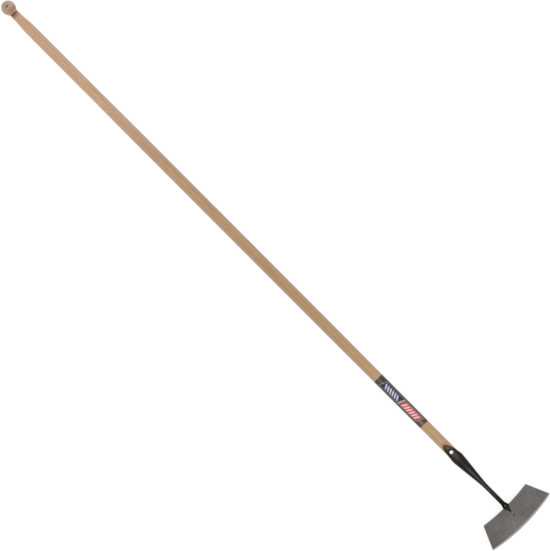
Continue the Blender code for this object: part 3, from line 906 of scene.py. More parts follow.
def blade_mesh():
    half = blade_outline()
    loop = half + [(a, -y, w) for a, y, w in reversed(half[1:-1])]
    inward = inward_normals(loop)
    count = len(loop)
    skin = Skin("rim", "ground")
    uv = skin.bm.loops.layers.uv.new("lines")
    flat_of = {}

    def make(a, y, z, rim, side):
        q = bevel_depth(a, y)
        ground = ease((q + 0.12) / 0.40) if side else 0.0
        vert = skin.point(blade_point(a, y, z), rim=rim, ground=ground)
        flat_of[vert] = (a, y)
        return vert

    def ring(offset, height_of, rim, side):
        row = []
        for i, (a, y, w) in enumerate(loop):
            d = offset(w)
            pa, py = a + inward[i].x * d, y + inward[i].y * d
            row.append(make(pa, py, height_of(pa, py, w), rim, side))
        return row

    def radius(w):
        return 0.38 * (1 - w) + 0.07 * w

    # The rim's rings, from the underside to the upper face.
    rings = []
    turns = [0.0, 0.3, 0.62, 1.0]
    for t in turns:
        phi = t * math.pi / 2
        rings.append(ring(
            lambda w, p=phi: radius(w) * 0.8 * (1 - math.sin(p)),
            lambda a, y, w, p=phi: -BLADE_THICKNESS
            + radius(w) * 0.8 * (1 - math.cos(p)), 1.0 - 0.3 * t, False))
    for t in turns:
        phi = t * math.pi / 2
        rings.append(ring(
            lambda w, p=phi: radius(w) * (1 - math.cos(p)),
            lambda a, y, w, p=phi: max(
                top_height(a, y) - radius(w) * (1 - math.sin(p)),
                -BLADE_THICKNESS + 0.13), 0.8 + 0.2 * t, True))
    for a, b in zip(rings, rings[1:]):
        skin.strip(a, b, True)

    def hole_ring(radius, height, sides=40):
        return [make(rivet_along + radius * math.cos(2 * math.pi * k / sides),
                     radius * math.sin(2 * math.pi * k / sides), height, 0.0,
                     False) for k in range(sides)]

    holes = [hole_ring(RIVET_SHANK + 0.12, 0.0),
             hole_ring(RIVET_SHANK + 0.12, -0.5),
             hole_ring(RIVET_TAIL + 0.12, -BLADE_THICKNESS)]
    for a, b in zip(holes, holes[1:]):
        skin.strip(a, b, True)

    edge_loop = [Vector((a, y)) for a, y, w in loop]

    def inside_by(p):
        """Distance from the outline for a point inside it, else negative."""
        hit, nearest = False, 1e9
        for i in range(count):
            a, b = edge_loop[i], edge_loop[(i + 1) % count]
            if (a.y > p.y) != (b.y > p.y):
                if p.x < a.x + (p.y - a.y) / (b.y - a.y) * (b.x - a.x):
                    hit = not hit
            nearest = min(nearest, (a - p).length_squared)
        nearest = math.sqrt(nearest)
        return nearest if hit else -nearest

    def fill(border, hole, top):
        """Triangles inside a border ring and outside a hole ring."""
        spots = [Vector(flat_of[v]) for v in border] \
            + [Vector(flat_of[v]) for v in hole]
        known = list(border) + list(hole)
        edges = [(i, (i + 1) % len(border)) for i in range(len(border))]
        n = len(border)
        edges += [(n + i, n + (i + 1) % len(hole)) for i in range(len(hole))]

        def add(p):
            spots.append(p)
            known.append(None)
            return len(spots) - 1

        if top:
            # rows that follow the back of the bevel
            for q in (0.62, 0.3, 0.1, 0.045, 0.0, -0.045, -0.11, -0.22):
                before = None
                for i in range(-260, 261):
                    turn = i * 0.95 / FRONT_RADIUS
                    y0 = FRONT_RADIUS * math.sin(turn)
                    d = (1 - q) * bevel_width(y0)
                    p = Vector((BLADE_DEPTH - FRONT_RADIUS
                                + (FRONT_RADIUS - d) * math.cos(turn),
                                (FRONT_RADIUS - d) * math.sin(turn)))
                    if abs(p.y) > FRONT_HALF or inside_by(p) < 0.75:
                        before = None
                        continue
                    now = add(p)
                    if before is not None:
                        edges.append((before, now))
                    before = now
            for k, share in enumerate((0.0, 0.2, 0.4, 0.58, 0.74, 0.88, 1.0,
                                       1.15, 1.35, 1.6)):
                sides = 1 if share == 0 else 28
                for i in range(sides):
                    turn = 2 * math.pi * (i + 0.5 * (k % 2)) / sides
                    add(Vector((DIMPLE[0] + DIMPLE[2] * share
                                * math.cos(turn), DIMPLE[1] + DIMPLE[2]
                                * share * math.sin(turn))))
        pitch = 2.4 if top else 5.0
        row = 0
        a = -26.0
        while a < BLADE_DEPTH:
            y = -FRONT_HALF + (pitch / 2 if row % 2 else 0.0)
            while y < FRONT_HALF:
                p = Vector((a, y))
                q = bevel_depth(a, y)
                clear = math.hypot(a - rivet_along, y) > RIVET_TAIL + 1.4
                if top:
                    clear = clear and q < -0.35 and math.hypot(
                        a - DIMPLE[0], y - DIMPLE[1]) > DIMPLE[2] * 1.6 + 0.9
                if clear and inside_by(p) > 1.3:
                    add(p)
                y += pitch
            a += pitch * 0.866
            row += 1
        found, _, faces, origin, _, _ = geometry.delaunay_2d_cdt(
            spots, edges, [list(range(n))], 1, 1e-6)
        verts = []
        for at, ids in zip(found, origin):
            old = next((known[i] for i in ids if known[i] is not None), None)
            if old is None:
                z = top_height(at.x, at.y) if top else -BLADE_THICKNESS
                old = make(at.x, at.y, z, 0.0, top)
            verts.append(old)
        for face in faces:
            middle = sum((Vector(flat_of[verts[i]]) for i in face),
                         Vector((0.0, 0.0))) / len(face)
            if math.hypot(middle.x - rivet_along, middle.y) \
                    < (hole_size[top]) * 0.97:
                continue
            skin.face(*(verts[i] for i in face))

    hole_size = {True: RIVET_SHANK + 0.12, False: RIVET_TAIL + 0.12}
    fill(rings[-1], holes[0], True)
    fill(rings[0], holes[-1], False)

    for face in skin.bm.faces:
        for corner in face.loops:
            a, y = flat_of[corner.vert]
            turn = math.atan2(y, a - (BLADE_DEPTH - FRONT_RADIUS))
            corner[uv].uv = (turn * FRONT_RADIUS * 0.001,
                             front_distance(a, y) * 0.001)
    return skin.mesh("steel_blade")


blade = tool_object("steel_blade", blade_mesh(), 38.0)

# ------------------------------------------------------------ rivet and nail
leaf_top = LEAF_THICKNESS - LEAF_UNDER
under_blade = LEAF_UNDER + PACKED_GAP + BLADE_THICKNESS


def rivet_mesh():
    head_top = leaf_top + RIVET_HEIGHT + PACKED_GAP
    seat = leaf_top + CLOSE
    profile = [(0.0, head_top)]
    for i in range(1, 15):
        angle = math.pi / 2 * i / 14
        profile.append((RIVET_HEAD * math.sin(angle) ** 0.92,
                        seat + 0.35 + (head_top - seat - 0.35)
                        * math.cos(angle)))
    profile += [(RIVET_HEAD - 0.05, seat + 0.15), (RIVET_HEAD - 0.28, seat),
                (RIVET_SHANK, seat),
                (RIVET_SHANK, -LEAF_UNDER - PACKED_GAP - 0.6),
                (RIVET_TAIL - 0.02, -under_blade + 0.14),
                (RIVET_TAIL - 0.2, -under_blade + 0.1)]
    profile += [(RIVET_TAIL * s, -under_blade + 0.1 - 0.08 * (1 - s))
                for s in (0.75, 0.5, 0.25)]
    profile.append((0.0, -under_blade + 0.02))

    def hammered(co):
        if co.z < leaf_top + 0.2:
            return co
        lift = (co.z - leaf_top) / RIVET_HEIGHT
        dent = 0.16 * rough(co.x, co.y, co.z, 2.6, 6.6) * min(1.0, lift)
        flat = max(0.0, co.z - (head_top - 0.35)) * 0.6
        return co + Vector((0.0, 0.0, min(0.0, dent) - flat))

    return turned("dome_rivet", profile, 56, ("rim",), hammered,
                  lambda co: {"rim": max(0.0, (co.z - leaf_top)
                                         / RIVET_HEIGHT)})


rivet = tool_object("dome_rivet", rivet_mesh(), 40.0)
rivet.matrix_world = LAID @ Matrix.Translation(leaf_point(RIVET_AT) * MM) \
    @ Matrix.Rotation(BLADE_ANGLE, 4, 'Y')


def nail_mesh():
    top = nail_seat + NAIL_HEIGHT
    profile = [(0.0, top)]
    for i in range(1, 15):
        angle = math.pi / 2 * i / 14
        profile.append((NAIL_HEAD * math.sin(angle) ** 0.9,
                        nail_seat + 0.4 + (NAIL_HEIGHT - 0.4)
                        * math.cos(angle)))
    seat = nail_seat + 0.16
    profile += [(NAIL_HEAD - 0.04, nail_seat + 0.24),
                (NAIL_HEAD - 0.24, seat - 0.06),
                (NAIL_SHANK + 0.05, seat - 0.02), (NAIL_SHANK, seat - 0.5),
                (NAIL_SHANK, nail_seat - NAIL_REACH + 5.0),
                (0.0, nail_seat - NAIL_REACH)]

    def struck(co):
        if co.z < nail_seat + 0.1:
            return co
        dent = 0.07 * rough(co.x, co.y, co.z, 2.2, 9.1)
        return co + Vector((0.0, 0.0, min(0.0, dent)))

    return turned("zinc_nail", profile, 64, ("rim",), struck,
                  lambda co: {"rim": max(0.0, (co.z - nail_seat)
                                         / NAIL_HEIGHT)})


nail = tool_object("zinc_nail", nail_mesh(), 40.0)
nail.matrix_world = LAID @ Matrix.Translation(
    Vector((NAIL_AT, NAIL_SIDE, 0.0)) * MM)


# ----------------------------------------------------------------- materials
class Finish:
    """A procedural material, built up node by node."""

    def __init__(self, name):
        self.mat = bpy.data.materials.new(name)
        self.mat.use_nodes = True
        self.tree = self.mat.node_tree
        self.shader = self.tree.nodes["Principled BSDF"]
        # positions along the tool's own axis, in millimetres
        coords = self.tree.nodes.new("ShaderNodeTexCoord").outputs["Object"]
        lie = self.tree.nodes.new("ShaderNodeMapping")
        lie.vector_type = 'TEXTURE'
        lie.inputs["Location"].default_value = LAID.translation
        lie.inputs["Rotation"].default_value = LAID.to_euler()
        self.put(lie.inputs["Vector"], coords)
        self.mm = self.vector('SCALE', lie.outputs[0], scale=1000.0)

    def put(self, socket, value):
        if isinstance(value, bpy.types.NodeSocket):
            self.tree.links.new(value, socket)
        elif isinstance(value, tuple) and len(value) == 3 \
                and socket.type == 'RGBA':
            socket.default_value = (*value, 1.0)
        else:
            socket.default_value = value

    def vector(self, operation, a, b=None, scale=None):
        node = self.tree.nodes.new("ShaderNodeVectorMath")
        node.operation = operation
        self.put(node.inputs[0], a)
        if b is not None:
            self.put(node.inputs[1], b)
        if scale is not None:
            self.put(node.inputs["Scale"], scale)
        return node.outputs["Value" if operation in (
            'LENGTH', 'DISTANCE', 'DOT_PRODUCT') else "Vector"]

    def math(self, operation, a, b=None, c=None, clamp=False):
        node = self.tree.nodes.new("ShaderNodeMath")
        node.operation = operation
        node.use_clamp = clamp
        for socket, value in zip(node.inputs, (a, b, c)):
            if value is not None:
                self.put(socket, value)
        return node.outputs[0]

    def split(self, vector):
        node = self.tree.nodes.new("ShaderNodeSeparateXYZ")
        self.put(node.inputs[0], vector)
        return node.outputs

    def join(self, x, y, z):
        node = self.tree.nodes.new("ShaderNodeCombineXYZ")
        for socket, value in zip(node.inputs, (x, y, z)):
            self.put(socket, value)
        return node.outputs[0]

    def noise(self, vector, stretch=(1.0, 1.0, 1.0), detail=2.0, rough=0.5,
              shift=0.0, colour=False):
        """Noise whose features repeat about once a unit after stretch."""
        moved = self.vector('MULTIPLY', vector, stretch)
        if shift:
            moved = self.vector('ADD', moved, (shift, -shift, 0.7 * shift))
        node = self.tree.nodes.new("ShaderNodeTexNoise")
        self.put(node.inputs["Vector"], moved)
        node.inputs["Scale"].default_value = 1.0
        node.inputs["Detail"].default_value = detail
        node.inputs["Roughness"].default_value = rough
        return node.outputs["Color" if colour else 0]

    def range(self, value, low, high, to_low=0.0, to_high=1.0, smooth=False):
        node = self.tree.nodes.new("ShaderNodeMapRange")
        if smooth:
            node.interpolation_type = 'SMOOTHSTEP'
        for socket, v in zip(node.inputs, (value, low, high, to_low,
                                           to_high)):
            self.put(socket, v)
        return node.outputs[0]

    def ramp(self, value, stops, mode='LINEAR'):
        node = self.tree.nodes.new("ShaderNodeValToRGB")
        node.color_ramp.interpolation = mode
        while len(node.color_ramp.elements) < len(stops):
            node.color_ramp.elements.new(0.5)
        for element, (at, colour) in zip(node.color_ramp.elements, stops):
            element.position = at
            element.color = (*colour, 1.0)
        self.put(node.inputs[0], value)
        return node.outputs[0]

    def mix(self, amount, a, b, blend='MIX'):
        node = self.tree.nodes.new("ShaderNodeMix")
        node.data_type = 'RGBA'
        node.blend_type = blend
        self.put(node.inputs[0], amount)
        self.put(node.inputs[6], a)
        self.put(node.inputs[7], b)
        return node.outputs[2]

    def layer(self, name):
        node = self.tree.nodes.new("ShaderNodeAttribute")
        node.attribute_name = name
        return node.outputs["Fac"]

    def bump(self, height, distance, strength=1.0, under=None):
        """Surface relief: height 0-1 over a depth in metres."""
        node = self.tree.nodes.new("ShaderNodeBump")
        node.inputs["Strength"].default_value = strength
        node.inputs["Distance"].default_value = distance
        self.put(node.inputs["Height"], height)
        if under is not None:
            self.put(node.inputs["Normal"], under)
        return node.outputs[0]

    def set(self, **values):
        for name, value in values.items():
            self.put(self.shader.inputs[name.replace("_", " ")], value)
        return self.mat


def near(f, point, inner, outer, stretch=(1.0, 1.0, 1.0)):
    """1 within inner mm of a point, 0 beyond outer."""
    away = f.vector('LENGTH', f.vector('MULTIPLY', f.vector(
        'SUBTRACT', f.mm, tuple(point)), stretch))
    return f.range(away, inner, outer, 1.0, 0.0, smooth=True)


def ash_finish():
    """Oiled ash: growth rings about a pith outside the handle, open pores in
    the early wood, slow colour drift, and the burnt ring below the ball."""
    f = Finish("ash_wood")
    x, y, z = f.split(f.mm)
    drift = f.vector('SUBTRACT', f.noise(f.mm, (1 / 190, 1 / 34, 1 / 34),
                                         1.5, 0.45, colour=True),
                     (0.5, 0.5, 0.5))
    drift = f.vector('SCALE', drift, scale=7.0)
    dx, dy, dz = f.split(drift)
    # the pith runs beside the handle and a little across its length
    py = f.math('ADD', f.math('MULTIPLY_ADD', x, -0.0135, 27.0), dy)
    pz = f.math('ADD', f.math('MULTIPLY_ADD', x, 0.0075, 31.0), dz)
    off = f.join(0.0, f.math('ADD', y, py), f.math('ADD', z, pz))
    depth = f.vector('LENGTH', off)
    uneven = f.noise(f.join(depth, 0.0, 0.0), (0.21, 1.0, 1.0), 1.0,
                     shift=3.0)
    rings = f.math('ADD', f.math('DIVIDE', depth, 2.9),
                   f.math('MULTIPLY', uneven, 1.6))
    phase = f.math('FRACT', rings)
    early = f.ramp(phase, [(0.0, (1, 1, 1)), (0.2, (0.85, 0.85, 0.85)),
                           (0.42, (0.12, 0.12, 0.12)), (0.8, (0, 0, 0)),
                           (0.94, (0.22, 0.22, 0.22)), (1.0, (0.5, 0.5, 0.5))],
                   'EASE')
    early = f.math('MULTIPLY', early, 1.0)
    pores = f.noise(f.mm, (0.055, 2.1, 2.1), 2.0, 0.6, shift=11.0)
    pores = f.range(pores, 0.56, 0.66, 0.0, 1.0, smooth=True)
    pores = f.math('MULTIPLY', pores, f.math('MULTIPLY_ADD', early, 0.9, 0.1))
    fibre = f.noise(f.mm, (0.018, 0.9, 0.9), 4.0, 0.6, shift=5.0)
    blotch = f.noise(f.mm, (1 / 42, 1 / 11, 1 / 11), 2.5, 0.5, shift=7.0)
    blotch = f.range(blotch, 0.32, 0.68)

    fleck = f.noise(f.mm, (0.17, 0.72, 0.72), 3.0, 0.62, shift=17.0)

    tone = f.mix(blotch, (0.672, 0.438, 0.278), (0.683, 0.398, 0.220))
    tone = f.mix(f.math('MULTIPLY', early, 0.40), tone,
                 (0.465, 0.262, 0.142))
    tone = f.mix(f.range(fibre, 0.3, 0.7, 0.0, 0.28), tone,
                 (0.430, 0.240, 0.132))
    tone = f.mix(f.range(fleck, 0.52, 0.68, 0.0, 0.48), tone,
                 (0.380, 0.205, 0.110))
    tone = f.mix(f.range(fleck, 0.30, 0.44, 0.36, 0.0), tone,
                 (0.800, 0.560, 0.370))
    tone = f.mix(f.math('MULTIPLY', pores, 0.60), tone,
                 (0.230, 0.120, 0.060))
    # faint drift between pinker and yellower wood
    cast = f.noise(f.mm, (1 / 34, 1 / 12, 1 / 12), 1.5, 0.5, shift=29.0)
    cast = f.mix(f.range(cast, 0.35, 0.65), (1.025, 0.985, 0.93),
                 (0.975, 1.01, 1.07))
    tone = f.mix(1.0, tone, cast, 'MULTIPLY')
    # the handle is a little darker towards its middle
    along = f.ramp(f.math('DIVIDE', x, 1600.0), [
        (0.0, (1.0, 1.0, 1.0)), (0.215, (1.0, 1.0, 1.0)),
        (0.30, (0.85, 0.845, 0.80)), (0.42, (0.86, 0.845, 0.735)),
        (0.52, (0.79, 0.76, 0.63)), (0.66, (0.755, 0.74, 0.58)),
        (0.78, (0.83, 0.81, 0.655)), (0.92, (0.88, 0.865, 0.69))])
    tone = f.mix(1.0, tone, along, 'MULTIPLY')
    # painted sheen greys the flanks, and painted shade darkens them at the very
    # edge
    flank_sheen_shade = f.range(f.math('DIVIDE', f.math('ABSOLUTE', y), 13.4), 0.25,
                    0.95, 0.0, 0.50, smooth=True)
    tone = f.mix(flank_sheen_shade, tone, f.mix(
        f.range(x, 340.0, 680.0), (0.580, 0.455, 0.365),
        (0.475, 0.385, 0.320)))
    # painted shade darkening the very edge
    flank_sheen_shade = f.range(f.math('DIVIDE', f.math('ABSOLUTE', y), 13.4), 0.82,
                    1.0, 0.0, 0.40)
    tone = f.mix(flank_sheen_shade, tone, (0.330, 0.265, 0.215))
    # the ball is darker and warm along its top, with painted sheen greying it
    # down its sides and paling one side, and it shows open end grain
    ball = f.range(x, 22.0, 36.0, 1.0, 0.0, smooth=True)
    low = f.range(z, 17.0, 10.0, 0.0, 1.0, smooth=True)
    tone = f.mix(f.math('MULTIPLY', ball, 0.72), tone, f.mix(
        low, (0.512, 0.304, 0.180), (0.450, 0.372, 0.316)))
    # painted sheen paling one side of the ball
    pale = f.math('MULTIPLY', ball, f.range(y, 1.5, 11.0, 0.0, 0.52,
                                            smooth=True))
    tone = f.mix(pale, tone, (0.545, 0.460, 0.410))
    # painted shade behind the ball, where it runs in to the ring
    hind_shade = f.math('MULTIPLY', f.range(x, 18.0, 27.5, smooth=True),
                  f.range(x, 30.5, 34.5, 1.0, 0.0, smooth=True))
    hind_shade = f.math('MULTIPLY', hind_shade, f.range(y, -8.0, -1.5, 0.30, 0.74,
                                            smooth=True))
    tone = f.mix(hind_shade, tone, (0.300, 0.188, 0.118))
    grain = f.noise(f.mm, (0.62, 0.62, 0.62), 3.0, 0.6, shift=23.0)
    tone = f.mix(f.math('MULTIPLY', f.range(grain, 0.50, 0.68, 0.0, 0.55),
                        ball), tone, (0.225, 0.140, 0.090))
    # burnt ring: deepest on one side, with a warm halo towards the shaft
    heat = f.math('MULTIPLY', f.range(y, -11.5, -6.5, 0.45, 1.0,
                                      smooth=True),
                  f.range(y, 0.0, 9.0, 1.0, 0.60, smooth=True))
    wobble = f.range(f.noise(f.mm, (0.3, 0.22, 0.22), 2.0, shift=2.0),
                     0.3, 0.7, -0.7, 0.7)
    off_ring = f.math('ADD', f.math('ABSOLUTE', f.math(
        'SUBTRACT', x, GROOVE_AT)), wobble)
    halo = f.range(f.math('ABSOLUTE', f.math('SUBTRACT', x, GROOVE_AT + 2.4)),
                   1.0, 12.5, 0.70, 0.0, smooth=True)
    tone = f.mix(f.math('MULTIPLY', halo, heat), tone,
                 (0.300, 0.118, 0.046))
    burn = f.range(off_ring, 0.9, 3.8, 1.0, 0.0, smooth=True)
    burn = f.math('MULTIPLY', burn, heat)
    tone = f.mix(f.math('MULTIPLY', burn, 0.92), tone,
                 (0.168, 0.046, 0.009))
    spot = near(f, (44.4, -1.4, 10.6), 0.8, 3.0)
    tone = f.mix(f.math('MULTIPLY', spot, 0.45), tone, (0.20, 0.08, 0.04))
    knot = near(f, KNOT, 1.5, 2.4)
    ring = near(f, KNOT, 1.8, 4.2)
    tone = f.mix(f.math('MULTIPLY', ring, 0.56), tone, (0.262, 0.098, 0.030))
    tone = f.mix(f.math('MULTIPLY', knot, 0.97), tone,
                 (0.040, 0.010, 0.002))
    mark = near(f, (12.2, -5.4, 15.2), 0.6, 2.8)
    tone = f.mix(f.math('MULTIPLY', mark, 0.60), tone, (0.22, 0.11, 0.06))
    # grime and painted contact shade where the lapel meets the wood
    stain = f.math('MULTIPLY', f.layer("stain"), f.range(
        f.noise(f.mm, (0.25, 0.25, 0.25), 2.0, shift=1.0), 0.3, 0.7, 0.55,
        1.0))
    tone = f.mix(f.math('MULTIPLY', stain, 0.90), tone,
                 (0.085, 0.036, 0.015))
    rough_ = f.math('ADD', f.range(fibre, 0.3, 0.7, 0.44, 0.54),
                    f.math('MULTIPLY', pores, 0.18))
    rough_ = f.math('ADD', rough_, f.math('MULTIPLY', burn, 0.2))
    relief = f.math('ADD', f.math('MULTIPLY', pores, -0.8), f.math(
        'ADD', f.math('MULTIPLY', fibre, 0.35), f.math(
            'MULTIPLY', early, -0.25)))
    return f.set(Base_Color=tone, Roughness=rough_, Specular_IOR_Level=0.25,
                 Sheen_Weight=0.12, Sheen_Roughness=0.5,
                 Normal=f.bump(relief, 0.00012, 0.8))


def lacquer_finish(name, shade=1.0):
    """Black stoving lacquer over forged steel, a little cloudy."""
    f = Finish(name)
    x, y, z = f.split(f.mm)
    cloud = f.noise(f.mm, (1 / 13, 1 / 13, 1 / 13), 3.0, 0.55, shift=4.0)
    fine = f.noise(f.mm, (0.8, 0.8, 0.8), 3.0, 0.6, shift=9.0)
    orange = f.noise(f.mm, (0.45, 0.45, 0.45), 1.5, 0.5, shift=6.0)
    tone = f.mix(f.range(cloud, 0.3, 0.7), (0.0090 * shade, 0.0086 * shade,
                                            0.0082 * shade),
                 (0.0165 * shade, 0.0152 * shade, 0.0140 * shade))
    tone = f.mix(f.range(fine, 0.55, 0.75, 0.0, 0.3), tone,
                 (0.024, 0.021, 0.018))
    return f, x, y, z, cloud, fine, orange, tone


def socket_finish():
    """The lacquer is thin and brown on the lapel and black round its outline,
    with a painted highlight along the crown, painted shade in the punched dent
    and over the neck's end and the leaf, and it is rubbed through at the free
    edges."""
    f, x, y, z, cloud, fine, orange, tone = lacquer_finish("black_lacquer")
    crown = f.layer("crown")
    streak = f.noise(f.mm, (0.035, 0.55, 0.55), 3.0, 0.6, shift=18.0)
    # lighter over the socket; painted shade darkens the end of the neck and the
    # leaf round the rivet
    tone = f.mix(f.range(x, 1598.0, 1628.0, 0.55, 0.0, smooth=True), tone,
                 (0.0200, 0.0176, 0.0160))
    neck_leaf_shade = f.range(x, 1676.0, 1712.0, 0.0, 0.85, smooth=True)
    tone = f.mix(neck_leaf_shade, tone, (0.0028, 0.0025, 0.0023))
    # painted highlight along the crown, socket and neck alike, brightest at the
    # throat
    top = f.math('MULTIPLY', f.range(f.math('ABSOLUTE',
                                            f.math('ADD', y, 0.5)), 0.4, 4.2,
                                     1.0, 0.0, smooth=True),
                 f.range(crown, 0.1, 0.6))
    crown_highlight_along = f.ramp(f.math('DIVIDE', f.math('SUBTRACT', x, 1570.0), 150.0), [
        (at, (v, v, v)) for at, v in (
            (0.0, 0.14), (0.06, 0.17), (0.14, 0.36), (0.205, 0.88),
            (0.27, 0.80), (0.367, 0.78), (0.464, 0.72), (0.53, 0.64),
            (0.626, 0.58), (0.72, 0.40), (0.787, 0.29), (0.867, 0.16),
            (0.947, 0.0))])
    top = f.math('MULTIPLY', top, crown_highlight_along)
    top = f.math('MULTIPLY', top, f.range(streak, 0.32, 0.62, 0.65, 1.0))
    tone = f.mix(top, tone, (0.096, 0.085, 0.078))
    # brown behind the nail over its upper part, with a paler painted highlight
    # along the very middle
    brown = f.range(x, 1546.0, 1574.0, 1.0, 0.0, smooth=True)
    tone = f.mix(f.math('MULTIPLY', f.math('MULTIPLY', brown, f.range(
        crown, 0.30, 0.85)), f.range(cloud, 0.32, 0.66, 0.55, 0.9)), tone,
                 (0.038, 0.024, 0.016))
    tone = f.mix(f.math('MULTIPLY', f.math('MULTIPLY', brown, f.range(
        crown, 0.88, 0.99, smooth=True)), 0.85), tone,
                 (0.090, 0.066, 0.051))
    # bare and brown between the tip and the nail: warm along both edges,
    # paler in the middle
    edge = f.layer("edge")
    warm = f.mix(f.range(y, -5.0, 3.0), (0.046, 0.021, 0.008),
                 (0.118, 0.041, 0.011))
    middle = f.mix(f.range(y, 1.6, 4.6, 0.0, 0.75, smooth=True),
                   (0.143, 0.086, 0.047), (0.092, 0.042, 0.018))
    middle = f.mix(f.math('MULTIPLY', f.range(y, -2.4, -5.4, 0.0, 0.9,
                                              smooth=True),
                          f.range(x, 1518.5, 1524.5)), middle,
                   (0.044, 0.026, 0.014))
    bare = f.mix(f.range(edge, 2.2, 5.2, smooth=True), warm, middle)
    tip = f.math('MULTIPLY', f.range(x, 1525.5, 1532.5, 1.0, 0.0,
                                     smooth=True),
                 f.range(edge, 0.15, 0.9, 0.25, 1.0))
    tip = f.math('MULTIPLY', tip, f.range(streak, 0.34, 0.60, 0.72, 1.0))
    tone = f.mix(f.math('MULTIPLY', tip, 0.96), tone, bare)
    # the punch's dent: painted shade makes it black inside, and a painted
    # highlight lights its far lip
    away = f.vector('LENGTH', f.vector('MULTIPLY', f.vector(
        'SUBTRACT', f.mm, (DENT[0] - 0.3, DENT[1], 0.0)),
        (1 / 4.0, 1 / 6.4, 0.0)))
    before = f.range(x, NAIL_AT - 4.4, NAIL_AT - 1.4, 1.0, 0.0)
    dent = f.math('MULTIPLY', f.range(away, 0.58, 0.92, 1.0, 0.0,
                                      smooth=True), before)
    lip_highlight = f.math('MULTIPLY', f.math('MULTIPLY', f.range(
        away, 0.62, 0.86, smooth=True), f.range(away, 0.90, 1.16, 1.0, 0.0,
                                                smooth=True)),
                 f.range(x, DENT[0] - 2.6, DENT[0] - 0.6, 1.0, 0.0))
    lip_highlight = f.math('MULTIPLY', lip_highlight, f.range(f.math('ABSOLUTE', y), 2.0, 4.4,
                                          1.0, 0.0))
    tone = f.mix(f.math('MULTIPLY', dent, 0.80), tone,
                 (0.0022, 0.0026, 0.0028))
    tone = f.mix(f.math('MULTIPLY', lip_highlight, 0.75), tone, (0.150, 0.170, 0.170))
    # a painted highlight on the leaf before the rivet
    leaf_highlight = near(f, (1731.5, -0.6, -12.5), 1.0, 5.0, (0.6, 1.0, 0.3))
    tone = f.mix(f.math('MULTIPLY', leaf_highlight, f.range(cloud, 0.35, 0.6, 0.35,
                                                   0.7)), tone,
                 (0.060, 0.047, 0.039))
    rim = f.layer("rim")
    chips = f.noise(f.mm, (0.55, 0.55, 0.55), 3.0, 0.65, shift=13.0)
    worn = f.math('MULTIPLY', rim, f.range(chips, 0.46, 0.60, 0.0, 1.0,
                                           smooth=True))
    tone = f.mix(f.math('MULTIPLY', worn, 0.35), tone, (0.075, 0.050, 0.034))
    scuff = f.noise(f.mm, (0.05, 0.9, 0.9), 3.0, 0.6, shift=21.0)
    scuff = f.range(scuff, 0.66, 0.74, 0.0, 0.35)
    tone = f.mix(scuff, tone, (0.040, 0.034, 0.028))
    rough_ = f.math('ADD', f.range(cloud, 0.3, 0.7, 0.36, 0.46), f.math(
        'MULTIPLY', scuff, 0.4))
    rough_ = f.math('ADD', rough_, f.math('MULTIPLY', worn, 0.12))
    rough_ = f.math('ADD', rough_, f.math('MULTIPLY', dent, 0.25))
    under = f.bump(orange, 0.00008, 0.5)
    return f.set(Base_Color=tone, Roughness=rough_, Specular_IOR_Level=0.10,
                 Metallic=f.math('MULTIPLY', worn, 0.3),
                 Normal=f.bump(fine, 0.00003, 0.5, under))


def rivet_finish():
    """The rivet's lacquer is rubbed off where the head stands proudest, a
    painted highlight on its up-facing top.
    """
    # its lacquer is made a third as bright as the socket's: painted shade round
    # the lit top
    f, x, y, z, cloud, fine, orange, tone = lacquer_finish(
        "rivet_lacquer", 0.35)
    chips = f.noise(f.mm, (0.7, 0.7, 0.7), 3.0, 0.65, shift=3.0)
    lit_top = leaf_point(RIVET_AT) + upward * (leaf_top + RIVET_HEIGHT - 5.0) \
        + Vector((0.0, 0.0, 5.0))
    worn = f.math('MULTIPLY', near(f, lit_top, 1.0, 3.4), f.range(
        chips, 0.38, 0.58, 0.45, 1.0, smooth=True))
    tone = f.mix(f.math('MULTIPLY', worn, 0.85), tone,
                 (0.165, 0.158, 0.150))
    return f.set(Base_Color=tone,
                 Roughness=f.range(cloud, 0.3, 0.7, 0.30, 0.42),
                 Metallic=f.math('MULTIPLY', worn, 0.5),
                 Specular_IOR_Level=0.12,
                 Normal=f.bump(fine, 0.00004, 0.5))


